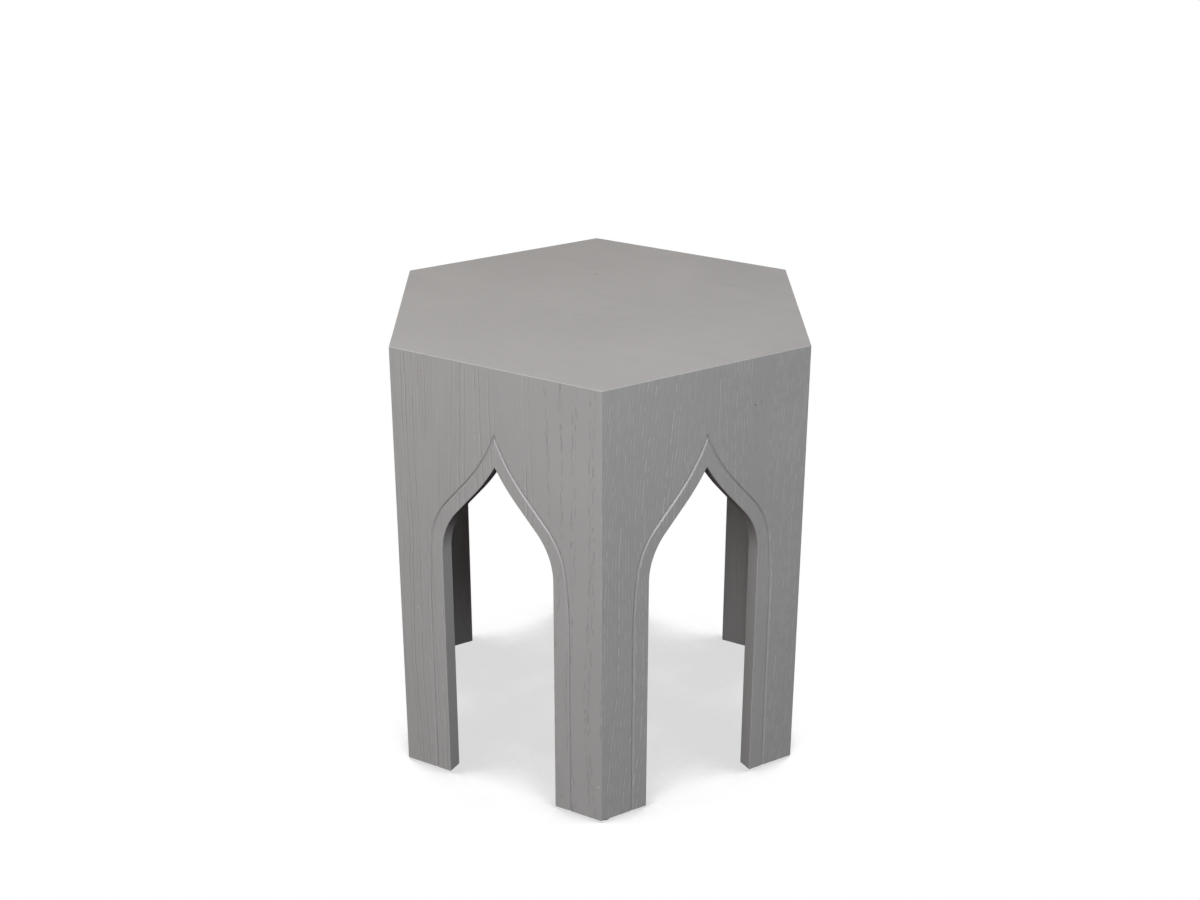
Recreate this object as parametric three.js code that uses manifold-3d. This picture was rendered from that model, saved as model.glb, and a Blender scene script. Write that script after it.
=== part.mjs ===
// A six-sided stool: a mitred top board on six mitred side boards with pointed ogee arches, and the
// splines, glue blocks, cleats, screws and glides that join it and carry it.
// Millimetres, +Z up. The origin is on the floor under the middle, and one corner points to -Y.

import * as THREE from 'three';
import { mergeVertices } from 'three/addons/utils/BufferGeometryUtils.js';
import Module from 'manifold-3d';

const wasm = await Module();
wasm.setup();

const degree = Math.PI / 180;

// Carcase
const sideNames = ['front_right', 'right', 'back_right', 'back_left', 'left', 'front_left'];
const cornerNames = ['front', 'right_front', 'right_back', 'back', 'left_back', 'left_front'];
const sideWidth = 254; // outer face of one side, corner to corner
const woodHeight = 504.5; // foot of the sides to the top surface
const boardThickness = 18; // veneered board, for the top and the sides
const jointGap = 0.3; // clear space at every joint
const overrun = 5; // how far a cut reaches past the face that it opens

// Arch through each side
const archWidth = 138.2; // clear width between the jambs
const archSpring = 278.7; // where the jambs end, above the foot
const haunchRadius = 79; // convex arc above each jamb
const slopeLean = 41 * degree; // lean of the straight run above the haunch, from upright
const crownRadius = 230; // hollow arc below the point
const pointLean = 30 * degree; // lean of each side at the point, from upright

// V groove round each arch
const grooveMargin = 15; // edge of the arch to the middle of the groove
const grooveFlare = 3.2; // how much further out the groove runs down the legs
const flareLean = 6.5 * degree; // lean at which the groove leaves the arch's own line
const grooveWidth = 3.4;
const grooveDepth = 1.7;

// Splines in the mitres
const splineThickness = 4;
const splineWidth = 12;
const cornerSplineSetback = 12; // corner of the stool to the spline, along the mitre
const cornerSplineFootInset = 40; // foot of the sides to the spline's lower end
const cornerSplineTopInset = 30; // top surface to the spline's upper end
const topSplineSetback = 11; // outer face of the side to the spline
const topSplineEndInset = 32; // corner of the stool to the spline's end

// Glue blocks in the inner corners, under the top
const blockReach = 30; // along each side
const blockHeight = 90;
const blockToe = 3; // thickness at each end of its reach
const blockEase = 3; // flat planed off its corner edge

// Cleats under the top
const cleatDepth = 20;
const cleatHeight = 20;
const cleatEndGap = 2;
const cleatScrewShare = 0.7; // of half the cleat's length, to each screw into the top

// Countersunk screws
const screwLength = 30;
const screwRadius = 1.75;
const screwHeadRadius = 3.5;
const screwHeadHeight = 2.2;
const screwHeadRim = 0.4;
const screwPointLength = 4;
const recessSpan = 3.6;
const recessWidth = 0.9;
const recessDepth = 1.4;

// Nail-on glides
const glideRadius = 7;
const glideHeight = 2.5;
const glideRimRadius = 1.2;
const glideSetback = 9; // corner of the stool to the nail, along the side
const nailRadius = 1.1;
const nailLength = 15; // from the glide into the foot
const nailPointLength = 3;
// Which side of each corner's mitre its nail is in, in the order of cornerNames: 1 is the side
// that follows the corner and -1 the side before it.
const glideSides = [1, 1, 1, 1, -1, -1];

// Facets of the round stretches
const easeSteps = 2;
const haunchSteps = 9;
const crownSteps = 4;
const screwFacets = 10;
const nailFacets = 8;
const glideFacets = 24;
const glideRimSteps = 3;

// Derived sizes
const sideCount = sideNames.length;
const sideTurn = (2 * Math.PI) / sideCount;
const halfTurn = sideTurn / 2;
const halfSide = sideWidth / 2;
const apothem = halfSide / Math.tan(halfTurn);
const cornerRadius = halfSide / Math.sin(halfTurn);
const footLevel = glideHeight + jointGap;
const topLevel = footLevel + woodHeight;
const underTop = topLevel - boardThickness;
const seatLevel = underTop - jointGap;
const innerFace = boardThickness - apothem;
const innerHalfSide = -innerFace * Math.tan(halfTurn);
const innerCorner = innerFace / Math.cos(halfTurn);
const cleatHalfLength = innerHalfSide - blockReach - cleatEndGap;
const mitreSlope = Math.PI / 4;
const mitreDrop = jointGap / Math.cos(mitreSlope);

// Finishes
function finish(color, roughness, metalness) {
  return new THREE.MeshStandardMaterial({ color, roughness, metalness, flatShading: true });
}
const paintedBoard = () => finish(0x9c9996, 0.5, 0);
const paintedBlock = () => finish(0x8f8c89, 0.7, 0);
const plywood = () => finish(0xcdb48c, 0.8, 0);
const plated = () => finish(0xb9b6ac, 0.35, 1);
const greyPlastic = () => finish(0x6d6b69, 0.55, 0);

// A solid from a closed geometry: shared points are merged and empty triangles left out.
function solidOf(geometry) {
  const bare = geometry.clone();
  bare.deleteAttribute('normal');
  bare.deleteAttribute('uv');
  const merged = mergeVertices(bare);
  const corners = merged.index.array;
  const triangles = [];
  for (let i = 0; i < corners.length; i += 3) {
    const [a, b, c] = corners.slice(i, i + 3);
    if (a !== b && b !== c && c !== a) {
      triangles.push(a, b, c);
    }
  }
  return new wasm.Manifold(
    new wasm.Mesh({
      numProp: 3,
      vertProperties: new Float32Array(merged.attributes.position.array),
      triVerts: new Uint32Array(triangles),
    }),
  );
}

// The geometry of a solid.
function geometryOf(solid) {
  const mesh = solid.getMesh();
  const geometry = new THREE.BufferGeometry();
  geometry.setAttribute('position', new THREE.BufferAttribute(mesh.vertProperties, mesh.numProp));
  geometry.setIndex(new THREE.BufferAttribute(mesh.triVerts, 1));
  geometry.computeVertexNormals();
  return geometry;
}

// The body geometry with every cutter geometry taken out of it.
function cut(body, cutters) {
  let solid = solidOf(body);
  for (const cutter of cutters) {
    solid = solid.subtract(solidOf(cutter));
  }
  return geometryOf(solid);
}

// An outline of [across, up] points, extruded over a length from zero.
function extrude(outline, length) {
  const shape = new THREE.Shape(outline.map(([across, up]) => new THREE.Vector2(across, up)));
  return new THREE.ExtrudeGeometry(shape, { depth: length, bevelEnabled: false });
}

// A plan of [x, y] points, standing from one level to another.
function standing(plan, bottom, top) {
  return extrude(plan, top - bottom).translate(0, 0, bottom);
}

// A front outline of [x, z] points, running from one y to another.
function through(outline, front, back) {
  return extrude(outline, back - front).rotateX(Math.PI / 2).translate(0, back, 0);
}

// A profile of [y, z] points, running along x and centred on it.
function along(profile, length) {
  const upright = new THREE.Matrix4().makeBasis(
    new THREE.Vector3(0, 1, 0),
    new THREE.Vector3(0, 0, 1),
    new THREE.Vector3(1, 0, 0),
  );
  return extrude(profile, length).translate(0, 0, -length / 2).applyMatrix4(upright);
}

// Points [x, z] on an arc, both ends included. Angles are from +X towards +Z.
function arc(centreX, centreZ, radius, from, to, steps) {
  const points = [];
  for (let i = 0; i <= steps; i += 1) {
    const angle = from + ((to - from) * i) / steps;
    points.push([centreX + radius * Math.cos(angle), centreZ + radius * Math.sin(angle)]);
  }
  return points;
}

// Arch outline. The haunch's centre is inside the opening and the crown's outside it, and the
// straight run between them is as long as it takes for both sides to meet over the middle.
const springLevel = footLevel + archSpring;
const haunchX = archWidth / 2 - haunchRadius;
const haunchEndX = haunchX + haunchRadius * Math.cos(slopeLean);
const haunchEndZ = springLevel + haunchRadius * Math.sin(slopeLean);
const crownX = crownRadius * Math.cos(pointLean);
const crownStartX = crownX - crownRadius * Math.cos(slopeLean);
const slopeRise = (haunchEndX - crownStartX) / Math.tan(slopeLean);
const crownZ = haunchEndZ + slopeRise + crownRadius * Math.sin(slopeLean);

// The outline's right half as [x, z], from below the foot up to the point. offset moves it away
// from the opening, and flare is how much further out its leg runs than its head.
function archHalf(offset, flare) {
  const haunch = haunchRadius + offset;
  const easeExtra = flare / (1 - Math.cos(flareLean));
  const easeX = haunchX + flare - easeExtra;
  const easeZ = springLevel - easeExtra * Math.sin(flareLean);
  const crown = crownRadius - offset;
  const crownEnd = Math.PI + Math.acos(Math.min(1, crownX / crown));
  const leg = [[easeX + haunch + easeExtra, footLevel - overrun]];
  const ease = arc(easeX, easeZ, haunch + easeExtra, 0, flareLean, easeSteps);
  const round = arc(haunchX, springLevel, haunch, flareLean, slopeLean, haunchSteps).slice(1);
  const hollow = arc(crownX, crownZ, crown, Math.PI + slopeLean, crownEnd, crownSteps);
  const [, pointZ] = hollow.pop();
  return [...leg, ...ease, ...round, ...hollow, [0, pointZ]];
}

// Both halves of the outline, from the right foot over the point to the left foot.
function archOutline(offset, flare) {
  const right = archHalf(offset, flare);
  const left = right.slice(0, -1).reverse().map(([x, z]) => [-x, z]);
  return [...right, ...left];
}

// A closed solid between three rails of [x, y, z] points that run side by side.
function solidBetween(rails) {
  const count = rails[0].length;
  const last = count - 1;
  const at = (rail, i) => (rail % rails.length) * count + i;
  const index = [at(2, 0), at(1, 0), at(0, 0), at(0, last), at(1, last), at(2, last)];
  for (let rail = 0; rail < rails.length; rail += 1) {
    for (let i = 0; i < last; i += 1) {
      index.push(at(rail, i), at(rail + 1, i), at(rail, i + 1));
      index.push(at(rail + 1, i), at(rail + 1, i + 1), at(rail, i + 1));
    }
  }
  const geometry = new THREE.BufferGeometry();
  geometry.setAttribute('position', new THREE.Float32BufferAttribute(rails.flat(2), 3));
  geometry.setIndex(index);
  return geometry;
}

// Screw shape, head face at zero and point towards +Z. grow widens it for its hole, and lead is
// how far the hole's mouth reaches before the head face.
function screwShape(grow, lead) {
  const profile = [
    [0, -lead],
    [screwHeadRadius + grow, -lead],
    [screwHeadRadius + grow, screwHeadRim],
    [screwRadius + grow, screwHeadHeight],
    [screwRadius + grow, screwLength - screwPointLength + grow],
    [0, screwLength + grow],
  ];
  return new THREE.LatheGeometry(
    profile.map(([radius, height]) => new THREE.Vector2(radius, height)),
    screwFacets,
  ).rotateX(Math.PI / 2);
}

// The places of a side's screws, in that side's frame. A cleat has two screws that rise into the
// top board and one in its middle that runs out into the side.
const cleatMiddle = innerFace + jointGap + cleatDepth / 2;
const cleatInner = innerFace + jointGap + cleatDepth;
const cleatBottom = seatLevel - cleatHeight;
const cleatMidLevel = seatLevel - cleatHeight / 2;
const topScrewX = cleatHalfLength * cleatScrewShare;

function risingScrew(shape, x) {
  return shape.translate(x, cleatMiddle, cleatBottom);
}

function outwardScrew(shape) {
  return shape.rotateX(Math.PI / 2).translate(0, cleatInner, cleatMidLevel);
}

function risingScrewHoles() {
  return [-topScrewX, topScrewX].map((x) => risingScrew(screwShape(jointGap, overrun), x));
}

function outwardScrewHole() {
  return outwardScrew(screwShape(jointGap, overrun));
}

// Corner spline in a corner's frame, whose corner points to -Y. grow widens it for its slot.
function cornerSpline(grow) {
  const bottom = footLevel + cornerSplineFootInset - grow;
  const top = topLevel - cornerSplineTopInset + grow;
  return new THREE.BoxGeometry(
    splineWidth + 2 * grow,
    splineThickness + 2 * grow,
    top - bottom,
  ).translate(0, cornerSplineSetback - cornerRadius, (bottom + top) / 2);
}

// Top spline in a side's frame, square to the mitre between the side and the top.
function topSpline(grow) {
  return new THREE.BoxGeometry(
    sideWidth - 2 * topSplineEndInset + 2 * grow,
    splineThickness + 2 * grow,
    splineWidth + 2 * grow,
  )
    .rotateX(-mitreSlope)
    .translate(0, topSplineSetback - apothem, topLevel - topSplineSetback - mitreDrop / 2);
}

// Glide with its nail, on the floor and pointing up.
function glideShape() {
  const rimCentre = glideRadius - glideRimRadius;
  const rim = arc(rimCentre, glideRimRadius, glideRimRadius, -Math.PI / 2, 0, glideRimSteps);
  const nailTop = footLevel + nailLength;
  const profile = [
    [0, 0],
    ...rim,
    [glideRadius, glideHeight],
    [nailRadius, glideHeight],
    [nailRadius, nailTop - nailPointLength],
    [0, nailTop],
  ];
  return new THREE.LatheGeometry(
    profile.map(([radius, height]) => new THREE.Vector2(radius, height)),
    glideFacets,
  ).rotateX(Math.PI / 2);
}

// Where a corner's nail stands, in that corner's frame.
function glidePlace(side) {
  const inward = boardThickness / 2;
  const x = glideSetback * Math.cos(halfTurn) - inward * Math.sin(halfTurn);
  const y = glideSetback * Math.sin(halfTurn) + inward * Math.cos(halfTurn) - cornerRadius;
  return [side * x, y];
}

// Nail holes in one side board, in its own frame. Its first corner is at -X and its last at +X.
function nailHoles(index) {
  const holes = [];
  const level = footLevel + nailLength / 2;
  for (const [corner, side] of [[index, 1], [(index + 1) % sideCount, -1]]) {
    if (glideSides[corner] === side) {
      const hole = new THREE.CylinderGeometry(
        nailRadius + jointGap,
        nailRadius + jointGap,
        nailLength + 2 * jointGap,
        nailFacets,
      );
      hole.rotateX(Math.PI / 2);
      hole.translate(side * (glideSetback - halfSide), innerFace - boardThickness / 2, level);
      holes.push(hole);
    }
  }
  return holes;
}

// Top board: its edge slopes in under the arris, so that the sides meet it in a mitre.
function topBoard() {
  const lowerRadius = (apothem - boardThickness) / Math.cos(halfTurn);
  const board = new THREE.CylinderGeometry(cornerRadius, lowerRadius, boardThickness, sideCount);
  board.rotateX(Math.PI / 2).translate(0, 0, topLevel - boardThickness / 2);
  const cutters = [];
  for (let index = 0; index < sideCount; index += 1) {
    const turn = halfTurn + index * sideTurn;
    for (const cutter of [topSpline(jointGap), ...risingScrewHoles()]) {
      cutters.push(cutter.rotateZ(turn));
    }
  }
  return cut(board, cutters);
}

// Side board, outer face towards -Y: mitred at both ends and along the top, with its arch, its
// groove, the slots for its splines, and the holes for its screw and nails.
function sideBoard(index) {
  const mitreBack = jointGap / 2 / Math.cos(halfTurn);
  const outer = halfSide - mitreBack;
  const inner = innerHalfSide - mitreBack;
  const plan = [[-outer, -apothem], [outer, -apothem], [inner, innerFace], [-inner, innerFace]];
  const profile = [
    [-apothem, footLevel],
    [innerFace, footLevel],
    [innerFace, underTop - mitreDrop],
    [-apothem, topLevel - mitreDrop],
  ];
  const mitredEnds = solidOf(standing(plan, footLevel, topLevel));
  const blank = geometryOf(mitredEnds.intersect(solidOf(along(profile, sideWidth))));
  const arch = through(archOutline(0, 0), -apothem - overrun, innerFace + overrun);
  const reach = (grooveWidth / 2) * (1 + overrun / grooveDepth);
  const rail = (offset, y) => archOutline(offset, grooveFlare).map(([x, z]) => [x, y, z]);
  const groove = solidBetween([
    rail(grooveMargin - reach, -apothem - overrun),
    rail(grooveMargin + reach, -apothem - overrun),
    rail(grooveMargin, grooveDepth - apothem),
  ]);
  return cut(blank, [
    arch,
    groove,
    cornerSpline(jointGap).rotateZ(-halfTurn),
    cornerSpline(jointGap).rotateZ(halfTurn),
    topSpline(jointGap),
    outwardScrewHole(),
    ...nailHoles(index),
  ]);
}

// Glue block in a corner's frame: a stick that fills the angle between two sides, with its corner
// edge planed off and its ends blunt.
function glueBlock() {
  const apex = innerCorner + jointGap / Math.cos(halfTurn);
  const half = [blockEase, blockReach].map((reach) => [
    reach * Math.cos(halfTurn),
    apex + reach * Math.sin(halfTurn),
  ]);
  const [toeX, toeY] = half[1];
  half.push([toeX - blockToe * Math.sin(halfTurn), toeY + blockToe * Math.cos(halfTurn)]);
  const mirrored = [...half].reverse().map(([x, y]) => [-x, y]);
  return standing([...half, ...mirrored], seatLevel - blockHeight, seatLevel);
}

// Cleat in a side's frame, with its countersunk holes.
function cleat() {
  const bar = new THREE.BoxGeometry(2 * cleatHalfLength, cleatDepth, cleatHeight);
  bar.translate(0, cleatMiddle, cleatMidLevel);
  return cut(bar, [...risingScrewHoles(), outwardScrewHole()]);
}

// Screw with its cross recess.
function screw() {
  const depth = 2 * recessDepth;
  return cut(screwShape(0, 0), [
    new THREE.BoxGeometry(recessSpan, recessWidth, depth),
    new THREE.BoxGeometry(recessWidth, recessSpan, depth),
  ]);
}

// Assembly
const stool = new THREE.Group();

function place(group, name, geometry, material) {
  const mesh = new THREE.Mesh(geometry, material);
  mesh.name = name;
  group.add(mesh);
  return mesh;
}

place(stool, 'top_board', topBoard(), paintedBoard());

sideNames.forEach((name, index) => {
  const side = new THREE.Group();
  side.rotation.z = halfTurn + index * sideTurn;
  stool.add(side);
  place(side, `side_board_${name}`, sideBoard(index), paintedBoard());
  place(side, `top_spline_${name}`, geometryOf(solidOf(topSpline(0))), plywood());
  place(side, `cleat_${name}`, cleat(), paintedBlock());
  place(side, `side_screw_${name}`, outwardScrew(screw()), plated());
  place(side, `top_screw_${name}_1`, risingScrew(screw(), -topScrewX), plated());
  place(side, `top_screw_${name}_2`, risingScrew(screw(), topScrewX), plated());
});

cornerNames.forEach((name, index) => {
  const corner = new THREE.Group();
  corner.rotation.z = index * sideTurn;
  stool.add(corner);
  place(corner, `corner_spline_${name}`, geometryOf(solidOf(cornerSpline(0))), plywood());
  place(corner, `glue_block_${name}`, geometryOf(solidOf(glueBlock())), paintedBlock());
  const glide = place(corner, `glide_${name}`, geometryOf(solidOf(glideShape())), greyPlastic());
  const [x, y] = glidePlace(glideSides[index]);
  glide.position.set(x, y, 0);
});

export default stool;
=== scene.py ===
"""Looks of a six-sided stool with pointed arches: painted open-grain boards closed at their mitres,
the bracing under the top, the glides under the feet, and a plain studio around them.

Metres, +Z up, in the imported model's frame: the origin is on the floor under the stool's middle, and
one corner of the hexagon points to -Y.
"""

import logging
import math
from collections.abc import Callable, Iterable, Iterator
from contextlib import contextmanager
from dataclasses import dataclass
from enum import Enum
from functools import cache, reduce

import bmesh
import bpy
from mathutils import Matrix, Vector


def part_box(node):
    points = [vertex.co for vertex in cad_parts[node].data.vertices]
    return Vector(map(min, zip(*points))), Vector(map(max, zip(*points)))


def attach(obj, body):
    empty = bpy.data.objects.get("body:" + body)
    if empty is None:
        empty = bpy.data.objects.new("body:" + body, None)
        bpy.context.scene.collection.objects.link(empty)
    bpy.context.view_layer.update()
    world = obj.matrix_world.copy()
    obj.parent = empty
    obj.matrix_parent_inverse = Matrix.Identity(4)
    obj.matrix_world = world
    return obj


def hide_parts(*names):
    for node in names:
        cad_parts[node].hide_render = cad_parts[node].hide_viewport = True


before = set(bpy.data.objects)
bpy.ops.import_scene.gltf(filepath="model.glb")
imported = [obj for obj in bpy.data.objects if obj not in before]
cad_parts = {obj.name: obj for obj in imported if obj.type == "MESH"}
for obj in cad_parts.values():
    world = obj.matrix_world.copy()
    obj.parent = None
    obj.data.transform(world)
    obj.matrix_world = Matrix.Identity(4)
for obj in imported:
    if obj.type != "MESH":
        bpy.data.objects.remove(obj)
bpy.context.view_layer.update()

log = logging.getLogger("stool")

Piece = bpy.types.Object
Pieces = dict[str, Piece]
Face, Edge, Point = bmesh.types.BMFace, bmesh.types.BMEdge, bmesh.types.BMVert
Socket = bpy.types.NodeSocket
Feed = Socket | float | tuple[float, ...]
Feeds = dict[str | int, Feed]
Pair = tuple[float, float]
Triple = tuple[float, float, float]
Colour = tuple[float, float, float, float]

BODY = "root"
SIDE_COUNT = 6
SIDE_TURN = math.radians(60)
HALF_TURN = SIDE_TURN / 2
MITRE = math.radians(45)
SQUARE = math.radians(90)
UP = Vector((0.0, 0.0, 1.0))
MILLIMETRE = 0.001

# Distance within which points are one, slack between normals that agree, and share of a normal
# along an axis from which on a face counts as square to it.
TINY = 1e-6
SLIGHT = 0.01
FACING = 0.999

# How far cutters run past what they cut, and the gap that keeps touching faces apart.
OVERRUN = 0.001
HAIR = 0.00002

# Noise: its roughness, the values that most of it lies between, and how much detail it has.
NOISE_ROUGHNESS = 0.55
NOISE_RANGE = (0.3, 0.7)
SOME_DETAIL = 1.0
MORE_DETAIL = 2.0
MOST_DETAIL = 3.0

# A paint film's cloud rate, peel rate and depth of peel, by the names of the group's inputs.
PAINT_FILM = {"Cloud Rate": 9.0, "Peel Rate": 260.0, "Peel": 0.01}

# A nick: how fine its ragged edge is, how ragged, and where the edge ends and the mark is full.
MARK_RATE = 1800.0
MARK_RAG = 0.8
MARK_EDGE = (1.6, 1.0)

# Half the space between two lines of the grain, and the level that the lamps look at.
HALF_SPACE = 0.5
LAMP_LEVEL = 0.25


class Corner(Enum):
    """The six corners, each with how many sixths of a turn it lies past the front one."""

    FRONT = 0
    RIGHT_FRONT = 1
    RIGHT_BACK = 2
    BACK = 3
    LEFT_BACK = 4
    LEFT_FRONT = 5

    @property
    def label(self) -> str:
        """The corner's name in the frame's nodes."""
        return self.name.lower()

    @property
    def turn(self) -> float:
        """Angle from the front corner to this one."""
        return self.value * SIDE_TURN

    @property
    def nailed_in_next(self) -> bool:
        """Whether the glide's nail is in the side that follows the corner."""
        return self not in (Corner.LEFT_BACK, Corner.LEFT_FRONT)


class Side(Enum):
    """The six sides, each with its place in the round that starts after the front corner."""

    FRONT_RIGHT = 0
    RIGHT = 1
    BACK_RIGHT = 2
    BACK_LEFT = 3
    LEFT = 4
    FRONT_LEFT = 5

    @property
    def label(self) -> str:
        """The side's name in the frame's nodes."""
        return self.name.lower()

    @property
    def turn(self) -> float:
        """Angle from +X to the side's outward normal."""
        return (self.value - Side.RIGHT.value) * SIDE_TURN

    @property
    def nailed_ends(self) -> list[int]:
        """The ends that hold a nail: -1 for the left one, seen from outside, and 1 for the right."""
        before = Corner(self.value).nailed_in_next
        after = not Corner((self.value + 1) % SIDE_COUNT).nailed_in_next
        return [end for end, nailed in ((-1, before), (1, after)) if nailed]


class Kind(Enum):
    """What is picked in edit mode, with the name of its list in a mesh."""

    FACE = "faces"
    EDGE = "edges"
    VERT = "verts"


# Working by hand


def take(piece: Piece) -> None:
    """Select one object alone and make it the active one.

    Args:
        piece: The object.
    """
    bpy.ops.object.select_all(action="DESELECT")
    piece.select_set(True)
    bpy.context.view_layer.objects.active = piece


def settle(piece: Piece, turn: float = 0.0) -> Piece:
    """Put an object's place into its mesh, after a turn about +Z if one is given.

    Args:
        piece: The object.
        turn: The angle.

    Returns:
        The same object.
    """
    if turn:
        piece.rotation_euler.z = turn
    take(piece)
    bpy.ops.object.transform_apply(location=True, rotation=True, scale=True)
    return piece


def put(piece: Piece, place: Matrix) -> Piece:
    """Move an object to a place, in its mesh."""
    piece.matrix_world = place
    return settle(piece)


def added(name: str) -> Piece:
    """Name the primitive that was just added, and put its place into its mesh.

    Args:
        name: The primitive's name.

    Returns:
        The primitive.
    """
    piece = bpy.context.object
    piece.name = piece.data.name = name
    return settle(piece)


@contextmanager
def editing(piece: Piece) -> Iterator[None]:
    """Edit mode on one object, with everything selected at first.

    Args:
        piece: The object.

    Yields:
        Nothing, while the object is in edit mode.
    """
    take(piece)
    bpy.ops.object.mode_set(mode="EDIT")
    bpy.ops.mesh.select_all(action="SELECT")
    yield
    bpy.ops.object.mode_set(mode="OBJECT")


def pick(piece: Piece, kind: Kind, test: Callable[[Face | Edge | Point], bool]) -> None:
    """Select only what passes a test, in edit mode.

    Args:
        piece: The object in edit mode.
        kind: Whether faces, edges or points are picked.
        test: Says whether one of them is wanted.
    """
    bpy.ops.mesh.select_mode(type=kind.name)
    bpy.ops.mesh.select_all(action="DESELECT")
    mesh = bmesh.from_edit_mesh(piece.data)
    mesh.normal_update()
    for item in [item for item in getattr(mesh, kind.value) if test(item)]:
        item.select_set(True)
    mesh.select_flush_mode()
    bmesh.update_edit_mesh(piece.data)


def draw_out(move: Triple) -> None:
    """Extrude what is selected along a straight line."""
    bpy.ops.mesh.extrude_region_move(TRANSFORM_OT_translate={"value": move})


def ease(piece: Piece, test: Callable[[Edge], bool], offset: float, segments: int) -> None:
    """Round over some edges, in edit mode.

    Args:
        piece: The object in edit mode.
        test: Says whether an edge is rounded.
        offset: How far the rounding reaches along each face.
        segments: Facets in the rounding.
    """
    pick(piece, Kind.EDGE, test)
    bpy.ops.mesh.bevel(
        offset=offset, segments=segments, profile=0.5, affect="EDGES", clamp_overlap=False
    )


def slice_off(piece: Piece, point: Vector, normal: Vector, close: bool = True) -> None:
    """Saw a piece along a plane and drop the side that the normal points to.

    Args:
        piece: The object to saw.
        point: A point in the plane.
        normal: The plane's normal.
        close: Whether the cut is closed.
    """
    with editing(piece):
        bpy.ops.mesh.bisect(
            plane_co=point, plane_no=normal, use_fill=close, clear_outer=True, threshold=TINY
        )


def face_outwards(piece: Piece) -> None:
    """Merge doubled points and turn every face outwards.

    Args:
        piece: The object.
    """
    with editing(piece):
        bpy.ops.mesh.remove_doubles(threshold=TINY)
        bpy.ops.mesh.normals_make_consistent(inside=False)


def reshape(piece: Piece, kind: str, **settings: object) -> None:
    """Apply one modifier to a piece.

    Args:
        piece: The object.
        kind: The modifier's type.
        settings: The modifier's settings.
    """
    take(piece)
    modifier = piece.modifiers.new(kind, kind)
    for name, value in settings.items():
        setattr(modifier, name, value)
    bpy.ops.object.modifier_apply(modifier=modifier.name)


def carve(piece: Piece, cutters: list[Piece]) -> None:
    """Take closed cutters out of a piece, and clear the cutters away.

    Args:
        piece: The object to cut.
        cutters: What is cut out of it.
    """
    for cutter in cutters:
        reshape(piece, "BOOLEAN", operation="DIFFERENCE", solver="EXACT", object=cutter)
        bpy.data.objects.remove(cutter)


def ease_all(piece: Piece, offset: float, sharp: float = math.radians(30)) -> None:
    """Round over every edge of a small piece that turns more than an angle."""
    reshape(piece, "BEVEL", width=offset, segments=2, limit_method="ANGLE", angle_limit=sharp)


def finish_surface(piece: Piece, smooth: float = math.radians(35)) -> Piece:
    """Merge doubled points, and shade so that rounded edges look round and flat faces stay flat.

    Args:
        piece: The object to finish.
        smooth: Edges that turn less than this are shaded smooth.

    Returns:
        The same object.
    """
    with editing(piece):
        bpy.ops.mesh.remove_doubles(threshold=TINY)
        bpy.ops.mesh.dissolve_degenerate(threshold=TINY)
    bpy.ops.object.shade_smooth_by_angle(angle=smooth)
    reshape(piece, "WEIGHTED_NORMAL", keep_sharp=True)
    return piece


def copy_of(piece: Piece, name: str, turn: float = 0.0) -> Piece:
    """A copy with its own mesh, turned about the stool's axis.

    Args:
        piece: The object to copy.
        name: The copy's name.
        turn: Angle that it is turned by.

    Returns:
        The copy.
    """
    twin = piece.copy()
    twin.data = piece.data.copy()
    twin.name = twin.data.name = name
    bpy.context.collection.objects.link(twin)
    return settle(twin, turn)


def block(name: str, low: Vector, high: Vector, grow: float = 0.0, tilt: float = 0.0) -> Piece:
    """A squared block, the start of a batten or a cutter for a slot.

    Args:
        name: The block's name.
        low: Its lowest corner, before it is tilted.
        high: Its highest corner, before it is tilted.
        grow: How much it is larger than that on each side.
        tilt: How far it leans about its own middle, about +Y.

    Returns:
        The block.
    """
    size = high - low + Vector((2 * grow, 2 * grow, 2 * grow))
    bpy.ops.mesh.primitive_cube_add(
        size=1.0, location=(low + high) / 2, rotation=(0.0, tilt, 0.0), scale=size
    )
    return added(name)


def turned(name: str, profile: list[Pair], facets: int) -> Piece:
    """A round piece about the Z axis, drawn ring by ring.

    Args:
        name: The piece's name.
        profile: Radius and height of each ring, from the bottom up.
        facets: How many sides the rings have.

    Returns:
        The closed piece.
    """
    radius, height = profile[0]
    bpy.ops.mesh.primitive_circle_add(
        vertices=facets, radius=radius, fill_type="NGON", location=(0.0, 0.0, height)
    )
    piece = added(name)
    with editing(piece):
        pick(piece, Kind.FACE, lambda face: True)
        for next_radius, next_height in profile[1:]:
            draw_out((0.0, 0.0, next_height - height))
            share = next_radius / radius
            bpy.ops.transform.resize(value=(share, share, 1.0), center_override=(0.0, 0.0, 0.0))
            radius, height = next_radius, next_height
    face_outwards(piece)
    return piece


# Sizes


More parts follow.
